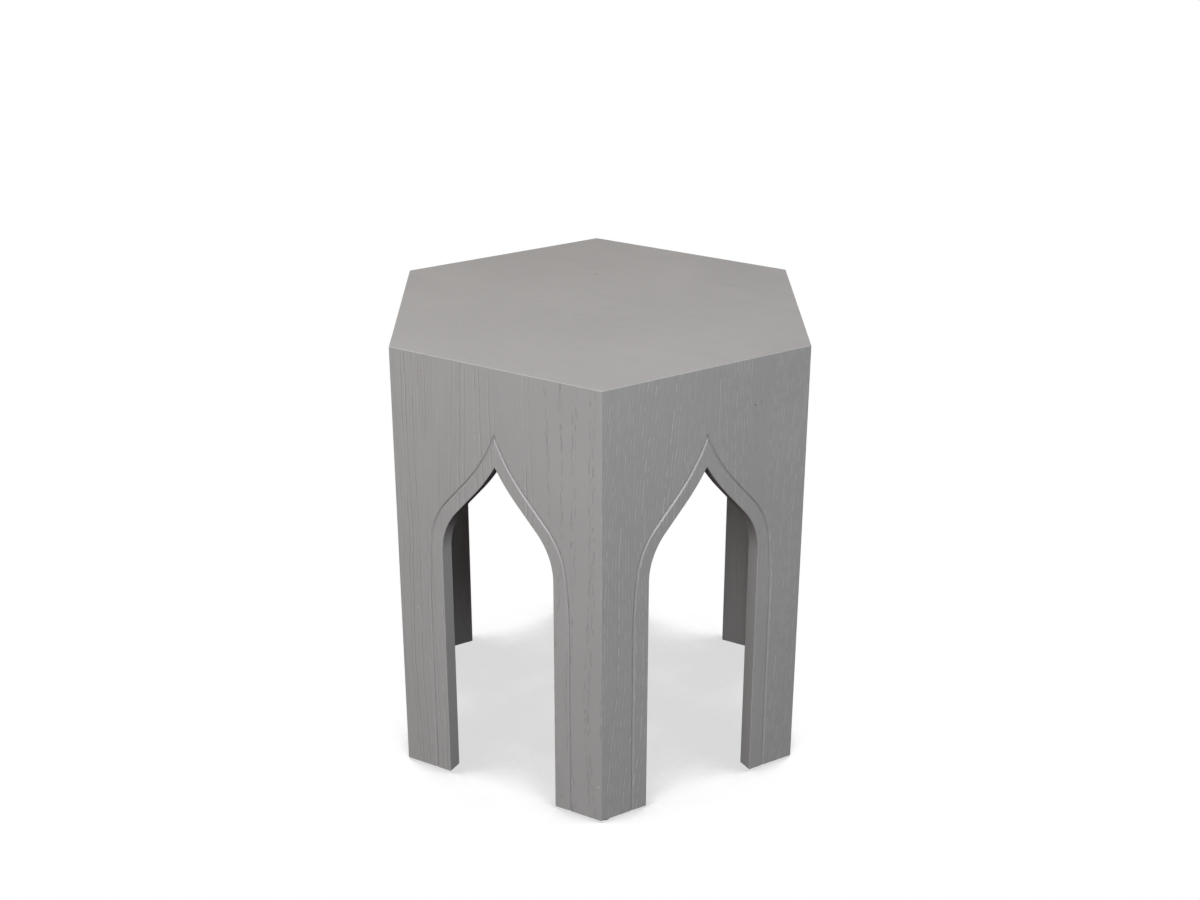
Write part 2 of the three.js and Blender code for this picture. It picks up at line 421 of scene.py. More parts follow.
@dataclass(frozen=True)
class Carcase:
    """The stool's main sizes, read from the frame.

    Attributes:
        corner: Middle of the stool to a corner.
        face: Middle of the stool to a side's outer face.
        top: Level of the top surface.
        foot: Level of the wooden feet.
        board: Thickness of the boards.
    """

    corner: float
    face: float
    top: float
    foot: float
    board: float

    @classmethod
    def from_frame(cls) -> "Carcase":
        """Read the sizes from the top board and one side board.

        Returns:
            The sizes.
        """
        low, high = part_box("top_board")
        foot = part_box("side_board_right")[0].z
        return cls(corner=high.y, face=high.x, top=high.z, foot=foot, board=high.z - low.z)

    @property
    def inner(self) -> float:
        """Middle of the stool to a side's inner face."""
        return self.face - self.board

    @property
    def under(self) -> float:
        """Level of the top board's underside."""
        return self.top - self.board

    @staticmethod
    def screw_places(lift: float = 0.0) -> list[Matrix]:
        """Where the right side's screws sit: the two that rise, then the one that runs outwards.

        Args:
            lift: How far each is moved along its own length.

        Returns:
            The place of each, for a screw that stands on its head at the origin.
        """
        places = []
        for number in (1, 2):
            low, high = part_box(f"top_screw_right_{number}")
            middle = (low + high) / 2
            places.append(Matrix.Translation((middle.x, middle.y, low.z + lift)))
        low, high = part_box("side_screw_right")
        middle = (low + high) / 2
        out = Matrix.Translation((low.x + lift, middle.y, middle.z))
        return [*places, out @ Matrix.Rotation(SQUARE, 4, "Y")]


@dataclass(frozen=True)
class Arch:
    """The arch through each side and the V groove round it, as in the part's own source.

    Attributes:
        half_width: Middle of the arch to a jamb.
        spring: Where the jambs end, above the foot.
        haunch: Radius of the convex arc above each jamb.
        slope: Lean of the straight run above it, from upright.
        crown: Radius of the hollow arc below the point.
        point: Lean of each side at the point, from upright.
        margin: Edge of the arch to the middle of the groove.
        flare: How much further out the groove runs down the legs.
        flare_lean: Lean at which the groove leaves the arch's own line.
        groove_depth: Depth of the groove, whose flanks are square to each other.
        haunch_steps: Facets in the haunch.
        crown_steps: Facets in the crown.
        flare_steps: Facets in the groove's flare.
    """

    half_width: float = 0.0691
    spring: float = 0.2787
    haunch: float = 0.079
    slope: float = math.radians(41)
    crown: float = 0.230
    point: float = math.radians(30)
    margin: float = 0.015
    flare: float = 0.0032
    flare_lean: float = math.radians(6.5)
    groove_depth: float = 0.0017
    haunch_steps: int = 24
    crown_steps: int = 12
    flare_steps: int = 6

    @property
    def haunch_y(self) -> float:
        """Across from the middle of the arch to the haunch's centre."""
        return self.half_width - self.haunch

    @property
    def crown_y(self) -> float:
        """Across from the middle of the arch to the crown's centre."""
        return self.crown * math.cos(self.point)

    @property
    def straight(self) -> float:
        """Length of the straight run between the two arcs."""
        from_haunch = self.haunch_y + self.haunch * math.cos(self.slope)
        to_crown = self.crown_y - self.crown * math.cos(self.slope)
        return (from_haunch - to_crown) / math.sin(self.slope)

    @property
    def crown_rise(self) -> float:
        """From the spring up to the crown's centre."""
        arcs = (self.haunch + self.crown) * math.sin(self.slope)
        return arcs + self.straight * math.cos(self.slope)

    @property
    def height(self) -> float:
        """From the foot up to the arch's point."""
        return self.spring + self.crown_rise - self.crown * math.sin(self.point)

    def follow(self, base: float, start: float, past: float, flare: float = 0.0) -> None:
        """Draw the selected section up one leg and over the haunch and the crown.

        The section stands in the side that faces +X, on its +Y leg.

        Args:
            base: Level of the foot.
            start: Level at which the section stands.
            past: How far the crown's arc is followed, which is past the middle.
            flare: How much further out the section stands than on the head.
        """

        def swing(centre_y: float, centre_z: float, angle: float, steps: int) -> None:
            """Spin the section about a centre."""
            centre = (0.0, centre_y, centre_z)
            bpy.ops.mesh.spin(steps=steps, angle=angle, center=centre, axis=(-1.0, 0.0, 0.0))

        spring = base + self.spring
        lean = self.flare_lean if flare else 0.0
        extra = flare / (1.0 - math.cos(self.flare_lean))
        level = spring - extra * math.sin(lean)
        draw_out((0.0, 0.0, level - start))
        if flare:
            swing(self.haunch_y + flare - extra, level, lean, self.flare_steps)
        swing(self.haunch_y, spring, self.slope - lean, self.haunch_steps)
        inwards = -self.straight * math.sin(self.slope)
        draw_out((0.0, inwards, self.straight * math.cos(self.slope)))
        swing(self.crown_y, spring + self.crown_rise, -past, self.crown_steps)


@dataclass(frozen=True)
class Screw:
    """A countersunk wood screw with a cross recess.

    Attributes:
        length: Face of the head to the point.
        radius: Radius of the shank.
        head_radius: Radius of the head.
        head_height: Face of the head to the shank.
        rim: Straight rim of the head.
        point_length: Length of the point.
        point_share: Radius at the tip, as a share of the shank's.
        recess_span: Tip to tip of the cross.
        recess_width: Width of each of its arms.
        recess_depth: Depth of the cross.
        facets: Facets round the screw.
    """

    length: float = 0.030
    radius: float = 0.00175
    head_radius: float = 0.0035
    head_height: float = 0.0022
    rim: float = 0.0004
    point_length: float = 0.004
    point_share: float = 0.05
    recess_span: float = 0.0036
    recess_width: float = 0.0009
    recess_depth: float = 0.0014
    facets: int = 32

    def shape(self, name: str, grow: float = 0.0, lead: float = 0.0) -> Piece:
        """The screw's outline turned about +Z, with its head down on the origin.

        Args:
            name: The piece's name.
            grow: How much it is larger all round, for its hole.
            lead: How far it reaches below the head, for its hole.

        Returns:
            The turned piece.
        """
        profile = [
            (self.head_radius + grow, -lead),
            (self.head_radius + grow, self.rim),
            (self.radius + grow, self.head_height),
            (self.radius + grow, self.length - self.point_length + grow),
            (self.radius * self.point_share, self.length + grow),
        ]
        return turned(name, profile, self.facets)

    def build(self, name: str) -> Piece:
        """Turn the screw, head down on the origin, and press its cross recess.

        Args:
            name: The screw's name.

        Returns:
            The screw.
        """
        screw = self.shape(name)
        half, arm = self.recess_span / 2, self.recess_width / 2
        depth = Vector((0.0, 0.0, self.recess_depth))
        cross = [
            block("recess", Vector((-a, -b, 0.0)) - depth, Vector((a, b, 0.0)) + depth)
            for a, b in ((half, arm), (arm, half))
        ]
        carve(screw, cross)
        return finish_surface(screw)


@dataclass(frozen=True)
class Glide:
    """A round glide that is nailed under a foot.

    Attributes:
        rim: Radius of the rounding at the floor.
        edge: Radius of the rounding under the foot.
        nail_radius: Radius of the nail.
        nail_length: How far it goes into the foot.
        nail_point: Length of its point.
        point_share: Radius at its tip, as a share of the nail's.
        setback: Corner of the stool to the nail, along the side.
        steps: Facets in each rounding.
        facets: Facets round the glide.
    """

    rim: float = 0.0012
    edge: float = 0.0003
    nail_radius: float = 0.0011
    nail_length: float = 0.015
    nail_point: float = 0.003
    point_share: float = 0.05
    setback: float = 0.009
    steps: int = 6
    facets: int = 48

    def build(self, name: str, radius: float, foot: float) -> Piece:
        """Turn the glide with its nail, on the floor at the origin.

        Args:
            name: The piece's name.
            radius: Radius of the disc.
            foot: Level of the foot that it touches.

        Returns:
            The glide.
        """
        upper, nail_top = foot - HAIR, foot + self.nail_length
        turns = [SQUARE * step / self.steps for step in range(self.steps + 1)]
        arcs = [(1 - math.sin(turn), 1 - math.cos(turn)) for turn in turns]
        profile = [(radius - self.rim * near, self.rim * far) for near, far in arcs]
        profile += [(radius - self.edge * far, upper - self.edge * near) for near, far in arcs]
        profile += [
            (self.nail_radius, upper),
            (self.nail_radius, nail_top - self.nail_point),
            (self.nail_radius * self.point_share, nail_top),
        ]
        return finish_surface(turned(name, profile, self.facets))


# Sub-assemblies


@dataclass(frozen=True)
class Boards:
    """The top board and the six side boards, modelled closed and then sawn apart at the mitres.

    Attributes:
        size: The stool's main sizes.
        arch: The arch and its groove.
        screw: The screw that comes through a cleat into each side.
        glide: The glides, for the holes that their nails leave.
        fit: Clear space round splines, screws and nails.
        arris: Reach of the rounding on the long outer edges.
        rim: Reach of the rounding on the arches' edges and under the feet.
        lip: Reach of the rounding on the groove's edges.
        bed: Reach of the rounding along the bottom of the groove.
        arris_segments: Facets in the long edges' rounding, an even number.
        rim_segments: Facets in the rounding of the arch and the feet.
        groove_segments: Facets in the roundings of the groove.
        arch_sweep: How far the arch's crown is sawn, past the middle.
        groove_sweep: How far the groove's crown is routed, past the middle.
        hole_facets: Facets round a nail's hole.
    """

    size: Carcase
    arch: Arch
    screw: Screw
    glide: Glide
    fit: float = 0.0003
    arris: float = 0.0008
    rim: float = 0.0008
    lip: float = 0.0002
    bed: float = 0.0003
    arris_segments: int = 6
    rim_segments: int = 3
    groove_segments: int = 2
    arch_sweep: float = math.radians(12)
    groove_sweep: float = math.radians(23)
    hole_facets: int = 24

    def build(self) -> Pieces:
        """Model the top board and the side boards.

        Returns:
            Every board by the name of the frame's node that it stands for.
        """
        whole = self.closed_box()
        boards = {"top_board": self.top_from(copy_of(whole, "painted_top"))}
        model = self.side_from(whole)
        self.saw_arch(model)
        self.rout_groove(model)
        carve(model, self.side_joints())
        for side in Side:
            board = copy_of(model, f"painted_side_{side.label}")
            carve(board, [self.nail_hole(end) for end in side.nailed_ends])
            self.ease_edges(board)
            self.ease_groove(board)
            boards[f"side_board_{side.label}"] = settle(finish_surface(board), side.turn)
        bpy.data.objects.remove(model)
        return boards

    def closed_box(self) -> Piece:
        """The whole carcase as if it were one: a hexagonal box, open below, its arrises rounded.

        Returns:
            The box.
        """
        size = self.size
        height = size.top - size.foot
        middle = (0.0, 0.0, size.foot + height / 2)
        bpy.ops.mesh.primitive_cylinder_add(
            vertices=SIDE_COUNT, radius=size.corner, depth=height, location=middle
        )
        box = added("carcase")

        def is_arris(edge: Edge) -> bool:
            """Whether an edge is an outer one, other than the feet's."""
            ends = [point.co for point in edge.verts]
            outside = all(math.hypot(end.x, end.y) > size.corner - 2 * TINY for end in ends)
            return outside and any(end.z > size.foot + TINY for end in ends)

        with editing(box):
            pick(box, Kind.FACE, lambda face: face.normal.z < -FACING)
            bpy.ops.mesh.inset(thickness=size.board, depth=0.0)
            draw_out((0.0, 0.0, height - size.board))
            ease(box, is_arris, self.arris, self.arris_segments)
        return box

    def top_from(self, box: Piece) -> Piece:
        """Saw the top board out of the closed box, along its six mitres.

        Args:
            box: The box, which becomes the board.

        Returns:
            The board.
        """
        for side in Side:
            out = Vector((math.cos(side.turn), math.sin(side.turn), 0.0))
            slice_off(box, out * self.size.face + UP * self.size.top, out - UP)
        carve(box, self.top_joints())
        return finish_surface(box)

    def side_from(self, box: Piece) -> Piece:
        """Saw the side that faces +X out of the closed box, along its three mitres.

        Args:
            box: The box, which becomes the board.

        Returns:
            The board.
        """
        for hand in (-1.0, 1.0):
            slice_off(box, Vector(), Vector((-math.sin(HALF_TURN), hand * math.cos(HALF_TURN), 0.0)))
        arris = Vector((self.size.face, 0.0, self.size.top))
        slice_off(box, arris, Vector((-1.0, 0.0, 1.0)))
        return box

    def saw_arch(self, side: Piece) -> None:
        """Saw the arch through the side.

        Args:
            side: The side that faces +X.
        """
        size, jamb = self.size, self.arch.half_width
        depth = size.board + 2 * OVERRUN
        start = size.foot - OVERRUN
        middle = size.face - size.board / 2
        bpy.ops.mesh.primitive_plane_add(size=depth, location=(middle, jamb + depth / 2, start))
        saw = added("saw")
        with editing(saw):
            pick(saw, Kind.VERT, lambda point: point.co.y > jamb + TINY)
            bpy.ops.mesh.delete(type="VERT")
            bpy.ops.mesh.select_all(action="SELECT")
            self.arch.follow(size.foot, start, self.arch_sweep)
        ends = [lambda point: point.co.z < start + TINY]
        for plane in (middle - depth / 2, middle + depth / 2):
            ends.append(lambda point, plane=plane: abs(point.co.x - plane) < TINY)
        self.cut_with(saw, ends, side)

    def rout_groove(self, side: Piece) -> None:
        """Rout the V groove round the arch, with a square cutter that stands on its corner.

        Args:
            side: The side that faces +X.
        """
        size, arch = self.size, self.arch
        start = size.foot - OVERRUN
        across = arch.half_width + arch.margin + arch.flare
        bpy.ops.mesh.primitive_circle_add(
            vertices=4,
            radius=arch.groove_depth + OVERRUN,
            location=(size.face + OVERRUN, across, start),
            fill_type="NOTHING",
        )
        router = added("router")
        with editing(router):
            arch.follow(size.foot, start, self.groove_sweep, arch.flare)
        ends = [
            lambda point, hand=hand: point.co.z < start + TINY and point.co.y * hand > 0
            for hand in (-1.0, 1.0)
        ]
        self.cut_with(router, ends, side)

    @staticmethod
    def cut_with(half: Piece, ends: list[Callable[[Point], bool]], side: Piece) -> None:
        """Complete a swept cutter and cut with it.

        Args:
            half: One half of the cutter, which is trimmed at the arch's middle and mirrored.
            ends: One test for each open end, which picks the points round it.
            side: The board that is cut.
        """
        slice_off(half, Vector(), Vector((0.0, -1.0, 0.0)), close=False)
        mirror = {"use_axis": (False, True, False), "use_clip": True, "merge_threshold": 10 * TINY}
        reshape(half, "MIRROR", **mirror)
        with editing(half):
            for test in ends:
                pick(half, Kind.VERT, test)
                bpy.ops.mesh.edge_face_add()
        face_outwards(half)
        carve(side, [half])

    def side_joints(self) -> list[Piece]:
        """Cutters for the slots of the side's three splines and for its screw.

        Returns:
            The cutters.
        """
        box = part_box("corner_spline_front")
        slots = [
            settle(block("slot", *box, self.fit), corner.turn)
            for corner in (Corner.RIGHT_FRONT, Corner.RIGHT_BACK)
        ]
        hole = put(self.screw.shape("hole", self.fit), self.size.screw_places()[2])
        return [self.top_slot(), *slots, hole]

    def top_joints(self) -> list[Piece]:
        """Cutters for the slots and the screw holes round the top board's underside.

        Returns:
            The cutters.
        """
        cutters = [self.top_slot()]
        for place in self.size.screw_places()[:2]:
            cutters.append(put(self.screw.shape("hole", self.fit), place))
        others = [side for side in Side if side is not Side.RIGHT]
        return cutters + [copy_of(one, "cutter", side.turn) for side in others for one in cutters]

    def top_slot(self) -> Piece:
        """A cutter for the slot in the mitre between the right side and the top.

        Returns:
            The cutter.
        """
        corner_low, corner_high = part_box("corner_spline_front")
        low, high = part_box("top_spline_right")
        width, thickness, _ = corner_high - corner_low
        half = Vector((thickness, high.y - low.y, width)) / 2
        middle = (low + high) / 2
        return block("slot", middle - half, middle + half, self.fit, -MITRE)

    def nail_hole(self, end: int) -> Piece:
        """A cutter for a glide's nail, in the side that faces +X.

        Args:
            end: -1 for the side's left end, seen from outside, and 1 for its right end.

        Returns:
            The cutter.
        """
        size, glide = self.size, self.glide
        height = glide.nail_length + self.fit + OVERRUN
        across = end * (size.corner / 2 - glide.setback)
        bpy.ops.mesh.primitive_cylinder_add(
            vertices=self.hole_facets,
            radius=glide.nail_radius + self.fit,
            depth=height,
            location=(size.face - size.board / 2, across, size.foot - OVERRUN + height / 2),
        )
        return added("hole")

    def ease_edges(self, side: Piece) -> None:
        """Sand over the arch's edges and the foot's.

        Args:
            side: The side that faces +X.
        """
        limit = self.size.foot + self.arch.height + TINY

        def broad(face: Face) -> bool:
            """Whether a face is the board's outer or inner one."""
            return abs(face.normal.x) > FACING

        def under(face: Face) -> bool:
            """Whether a face looks down."""
            return face.normal.z < -FACING

        def outer(face: Face) -> bool:
            """Whether a face is a broad one or part of a corner's rounding."""
            return abs(face.normal.x) > math.cos(HALF_TURN) - SLIGHT

        def sawn(face: Face) -> bool:
            """Whether a face is the arch's own."""
            middle = face.calc_center_median()
            inside = abs(middle.y) < self.arch.half_width + TINY and middle.z < limit
            return inside and abs(face.normal.x) < SLIGHT and not under(face)

        def to_ease(edge: Edge) -> bool:
            """Whether an edge is the arch's or the foot's."""
            first, last = edge.link_faces
            return any(
                (sawn(one) and (broad(other) or under(other))) or (under(one) and outer(other))
                for one, other in ((first, last), (last, first))
            )

        with editing(side):
            ease(side, to_ease, self.rim, self.rim_segments)

    def ease_groove(self, side: Piece) -> None:
        """Round the groove's two lips and its bottom, as the paint does.

        Args:
            side: The side that faces +X.
        """
        face = self.size.face
        bottom = face - self.arch.groove_depth

        def at(edge: Edge, plane: float) -> bool:
            """Whether an edge lies in a plane that faces +X."""
            return all(abs(point.co.x - plane) < 2 * TINY for point in edge.verts)

        def is_lip(edge: Edge) -> bool:
            """Whether an edge is one of the groove's lips."""
            leans = [abs(item.normal.x - math.cos(MITRE)) < SLIGHT for item in edge.link_faces]
            return at(edge, face) and sum(leans) == 1

        with editing(side):
            ease(side, is_lip, self.lip, self.groove_segments)
            ease(side, lambda edge: at(edge, bottom), self.bed, self.groove_segments)


@dataclass(frozen=True)
class Bracing:
    """The glue blocks in the corners, the cleats along the sides, and the screws through these.

    Attributes:
        size: The stool's main sizes.
        screw: The screws.
        block_reach: Reach of a glue block along each side.
        block_flat: Planed off the glue block's corner edge, along each side.
        block_sharp: Edges of a glue block that turn more than this are rounded.
        edge: Reach of the rounding on blocks and cleats.
        fit: Clear space round the screws.
    """

    size: Carcase
    screw: Screw
    block_reach: float = 0.030
    block_flat: float = 0.003
    block_sharp: float = math.radians(20)
    edge: float = 0.0008
    fit: float = 0.0001

    def build(self) -> Pieces:
        """Model a glue block, a cleat and its screws, and copy them round the stool.

        Returns:
            Every piece by the name of the frame's node that it stands for.
        """
        pieces = {}
        glue_block = self.glue_block()
        for corner in Corner:
            name = f"corner_block_{corner.label}"
            pieces[f"glue_block_{corner.label}"] = copy_of(glue_block, name, corner.turn)
        cleat = self.cleat()
        model = self.screw.build("screw")
        *upright, level = self.size.screw_places(HAIR)
        for side in Side:
            pieces[f"cleat_{side.label}"] = copy_of(cleat, f"batten_{side.label}", side.turn)
            places = {f"side_screw_{side.label}": level}
            for number, place in enumerate(upright, start=1):
                places[f"top_screw_{side.label}_{number}"] = place
            for node, place in places.items():
                place = Matrix.Rotation(side.turn, 4, "Z") @ place
                pieces[node] = put(copy_of(model, f"wood_{node}"), place)
        for item in (glue_block, cleat, model):
            bpy.data.objects.remove(item)
        return pieces

    def cleat(self) -> Piece:
        """The right side's cleat, planed square, drilled and countersunk.

        Returns:
            The cleat.
        """
        low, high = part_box("cleat_right")
        tight = Vector((self.size.inner - HAIR, high.y, self.size.under - HAIR))
        cleat = block("cleat", low, tight)
        places = self.size.screw_places(HAIR)
        holes = [put(self.screw.shape("hole", self.fit, OVERRUN), place) for place in places]
        ease_all(cleat, self.edge)
        carve(cleat, holes)
        return finish_surface(cleat)

    def glue_block(self) -> Piece:
        """The front corner's glue block: a stick planed to fill the angle between two sides.

        Returns:
            The block.
        """
        low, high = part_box("glue_block_front")
        apex = Vector((0.0, (HAIR - self.size.inner) / math.cos(HALF_TURN), 0.0))
        start = Vector((low.x - OVERRUN, apex.y - OVERRUN, low.z))
        end = Vector((high.x + OVERRUN, high.y, self.size.under - HAIR))
        stick = block("glue_block", start, end)
        for hand in (-1.0, 1.0):
            run = Vector((hand * math.cos(HALF_TURN), math.sin(HALF_TURN), 0.0))
            wall = Vector((hand * math.sin(HALF_TURN), -math.cos(HALF_TURN), 0.0))
            slice_off(stick, apex, wall)
            slice_off(stick, apex + run * self.block_reach, run)
        flat = Vector((0.0, self.block_flat * math.sin(HALF_TURN), 0.0))
        slice_off(stick, apex + flat, Vector((0.0, -1.0, 0.0)))
        ease_all(stick, self.edge, self.block_sharp)
        return finish_surface(stick)


@dataclass(frozen=True)
class Feet:
    """The six glides under the corners.

    Attributes:
        size: The stool's main sizes.
        glide: The glide and its nail.
    """

    size: Carcase
    glide: Glide

    def build(self) -> Pieces:
        """Model one glide and set a copy where each of the frame's glides stands.

        Returns:
            Every glide by the name of the frame's node that it stands for.
        """
        pieces = {}
        low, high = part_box("glide_front")
        model = self.glide.build("glide", (high.x - low.x) / 2, self.size.foot)
        for corner in Corner:
            node = f"glide_{corner.label}"
            middle = sum(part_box(node), Vector()) / 2
            place = Matrix.Translation((middle.x, middle.y, 0.0))
            pieces[node] = put(copy_of(model, f"foot_{node}"), place)
        bpy.data.objects.remove(model)
        return pieces


# Nodes


@dataclass(frozen=True)
class Wiring:
    """Adds nodes to one tree and wires them up.

    Attributes:
        tree: The node tree.
    """

    tree: bpy.types.NodeTree

    def add(self, kind: str, feeds: Feeds, **settings: object) -> bpy.types.Node:
        """Add a node.

        Args:
            kind: The node's type.
            feeds: What each of its inputs is given, by the input's name or number.
            settings: The node's own settings.

        Returns:
            The node.
        """
        node = self.tree.nodes.new(kind)
        for name, value in settings.items():
            setattr(node, name, value)
        for key, feed in feeds.items():
            self.give(node.inputs[key], feed)
        return node

    def give(self, socket: Socket, feed: Feed) -> None:
        """Wire an input to another node's output, or set it to a constant.

        Args:
            socket: The input.
            feed: The output or the constant.
        """
        if isinstance(feed, Socket):
            self.tree.links.new(feed, socket)
        else:
            socket.default_value = feed

    def found(self, kind: str) -> bpy.types.Node:
        """The tree's own node of one type."""
        return next(node for node in self.tree.nodes if node.type == kind)

    def math(self, operation: str, *feeds: Feed) -> Socket:
        """One sum on numbers."""
        return self.add("ShaderNodeMath", dict(enumerate(feeds)), operation=operation).outputs[0]

    def times(self, *feeds: Feed) -> Socket:
        """The product of some numbers."""
        return reduce(lambda product, feed: self.math("MULTIPLY", product, feed), feeds)

    def times_plus(self, feed: Feed, share: Feed, more: Feed) -> Socket:
        """A number times a share, plus one more."""
        return self.math("MULTIPLY_ADD", feed, share, more)

    def fade(self, value: Feed, start: float, end: float, low: Feed = 0.0, high: Feed = 1.0) -> Socket:
        """Turn a stretch of values smoothly into another.

        Args:
            value: The value to read.
            start: Where the stretch begins.
            end: Where it ends.
            low: What the beginning gives.
            high: What the end gives.

        Returns:
            The new value, held within its stretch.
        """
        if end < start:
            start, end, low, high = end, start, high, low
        feeds = {"Value": value, "From Min": start, "From Max": end, "To Min": low, "To Max": high}
        return self.add("ShaderNodeMapRange", feeds, interpolation_type="SMOOTHSTEP").outputs["Result"]

    def split(self, vector: Feed) -> list[Socket]:
        """The three parts of a vector."""
        return list(self.add("ShaderNodeSeparateXYZ", {0: vector}).outputs)

    def joined(self, *parts: Feed) -> Socket:
        """A vector from its three parts."""
        return self.add("ShaderNodeCombineXYZ", dict(enumerate(parts))).outputs[0]

    def noise(self, vector: Feed, rate: Feed = 1.0, detail: float = 0.0) -> Socket:
        """Soft noise, at a number of waves per unit of the vector.

        Args:
            vector: The place that it is read at.
            rate: How many waves there are.
            detail: How much finer noise it holds.

        Returns:
            The noise.
        """
        if rate != 1.0:
            feeds = {"Vector": vector, "Scale": rate}
            vector = self.add("ShaderNodeVectorMath", feeds, operation="SCALE").outputs["Vector"]
        feeds = {"Vector": vector, "Scale": 1.0, "Detail": detail, "Roughness": NOISE_ROUGHNESS}
        return self.add("ShaderNodeTexNoise", feeds).outputs[0]

    def tinted(self, share: Feed, colour: Feed, other: Feed, blend: str = "MIX") -> Socket:
        """Blend a colour towards another, by the other's share."""
        feeds = {0: share, 6: colour, 7: other}
        return self.add("ShaderNodeMix", feeds, data_type="RGBA", blend_type=blend).outputs[2]

    def grey(self, tone: Feed) -> Socket:
        """A grey of one tone."""
        return self.add("ShaderNodeCombineColor", {0: tone, 1: tone, 2: tone}).outputs[0]

    def group(self, tree: bpy.types.NodeTree, feeds: Feeds) -> dict[str, Socket]:
        """Place a shared effect, and give its outputs by name."""
        return dict(self.add("ShaderNodeGroup", feeds, node_tree=tree).outputs.items())


@dataclass(frozen=True)
class SharedEffect:
    """A node group that reads a vector and some numbers and gives numbers.

    Attributes:
        wire: The group's wiring.
        given: Its inputs, by name.
    """

    wire: Wiring
    given: dict[str, Socket]

    @classmethod
    def start(cls, name: str, numbers: dict[str, float], outputs: list[str]) -> "SharedEffect":
        """Start a node group.

        Args:
            name: The group's name.
            numbers: Its number inputs with their usual values.
            outputs: Its number outputs.

        Returns:
            The group, with nothing in it yet.
        """
        tree = bpy.data.node_groups.new(name, "ShaderNodeTree")
        make = tree.interface.new_socket
        make("Vector", in_out="INPUT", socket_type="NodeSocketVector")
        for label, usual in numbers.items():
            made = make(label, in_out="INPUT", socket_type="NodeSocketFloat")
            made.default_value = usual
        for label in outputs:
            make(label, in_out="OUTPUT", socket_type="NodeSocketFloat")
        given = tree.nodes.new("NodeGroupInput")
        tree.nodes.new("NodeGroupOutput")
        return cls(Wiring(tree), dict(given.outputs.items()))

    def end(self, outputs: Feeds) -> bpy.types.NodeTree:
        """Wire up the outputs and give the finished group.

        Args:
            outputs: What each output is given.

        Returns:
            The group.
        """
        taken = self.wire.found("GROUP_OUTPUT")
        for label, feed in outputs.items():
            self.wire.give(taken.inputs[label], feed)
        return self.wire.tree


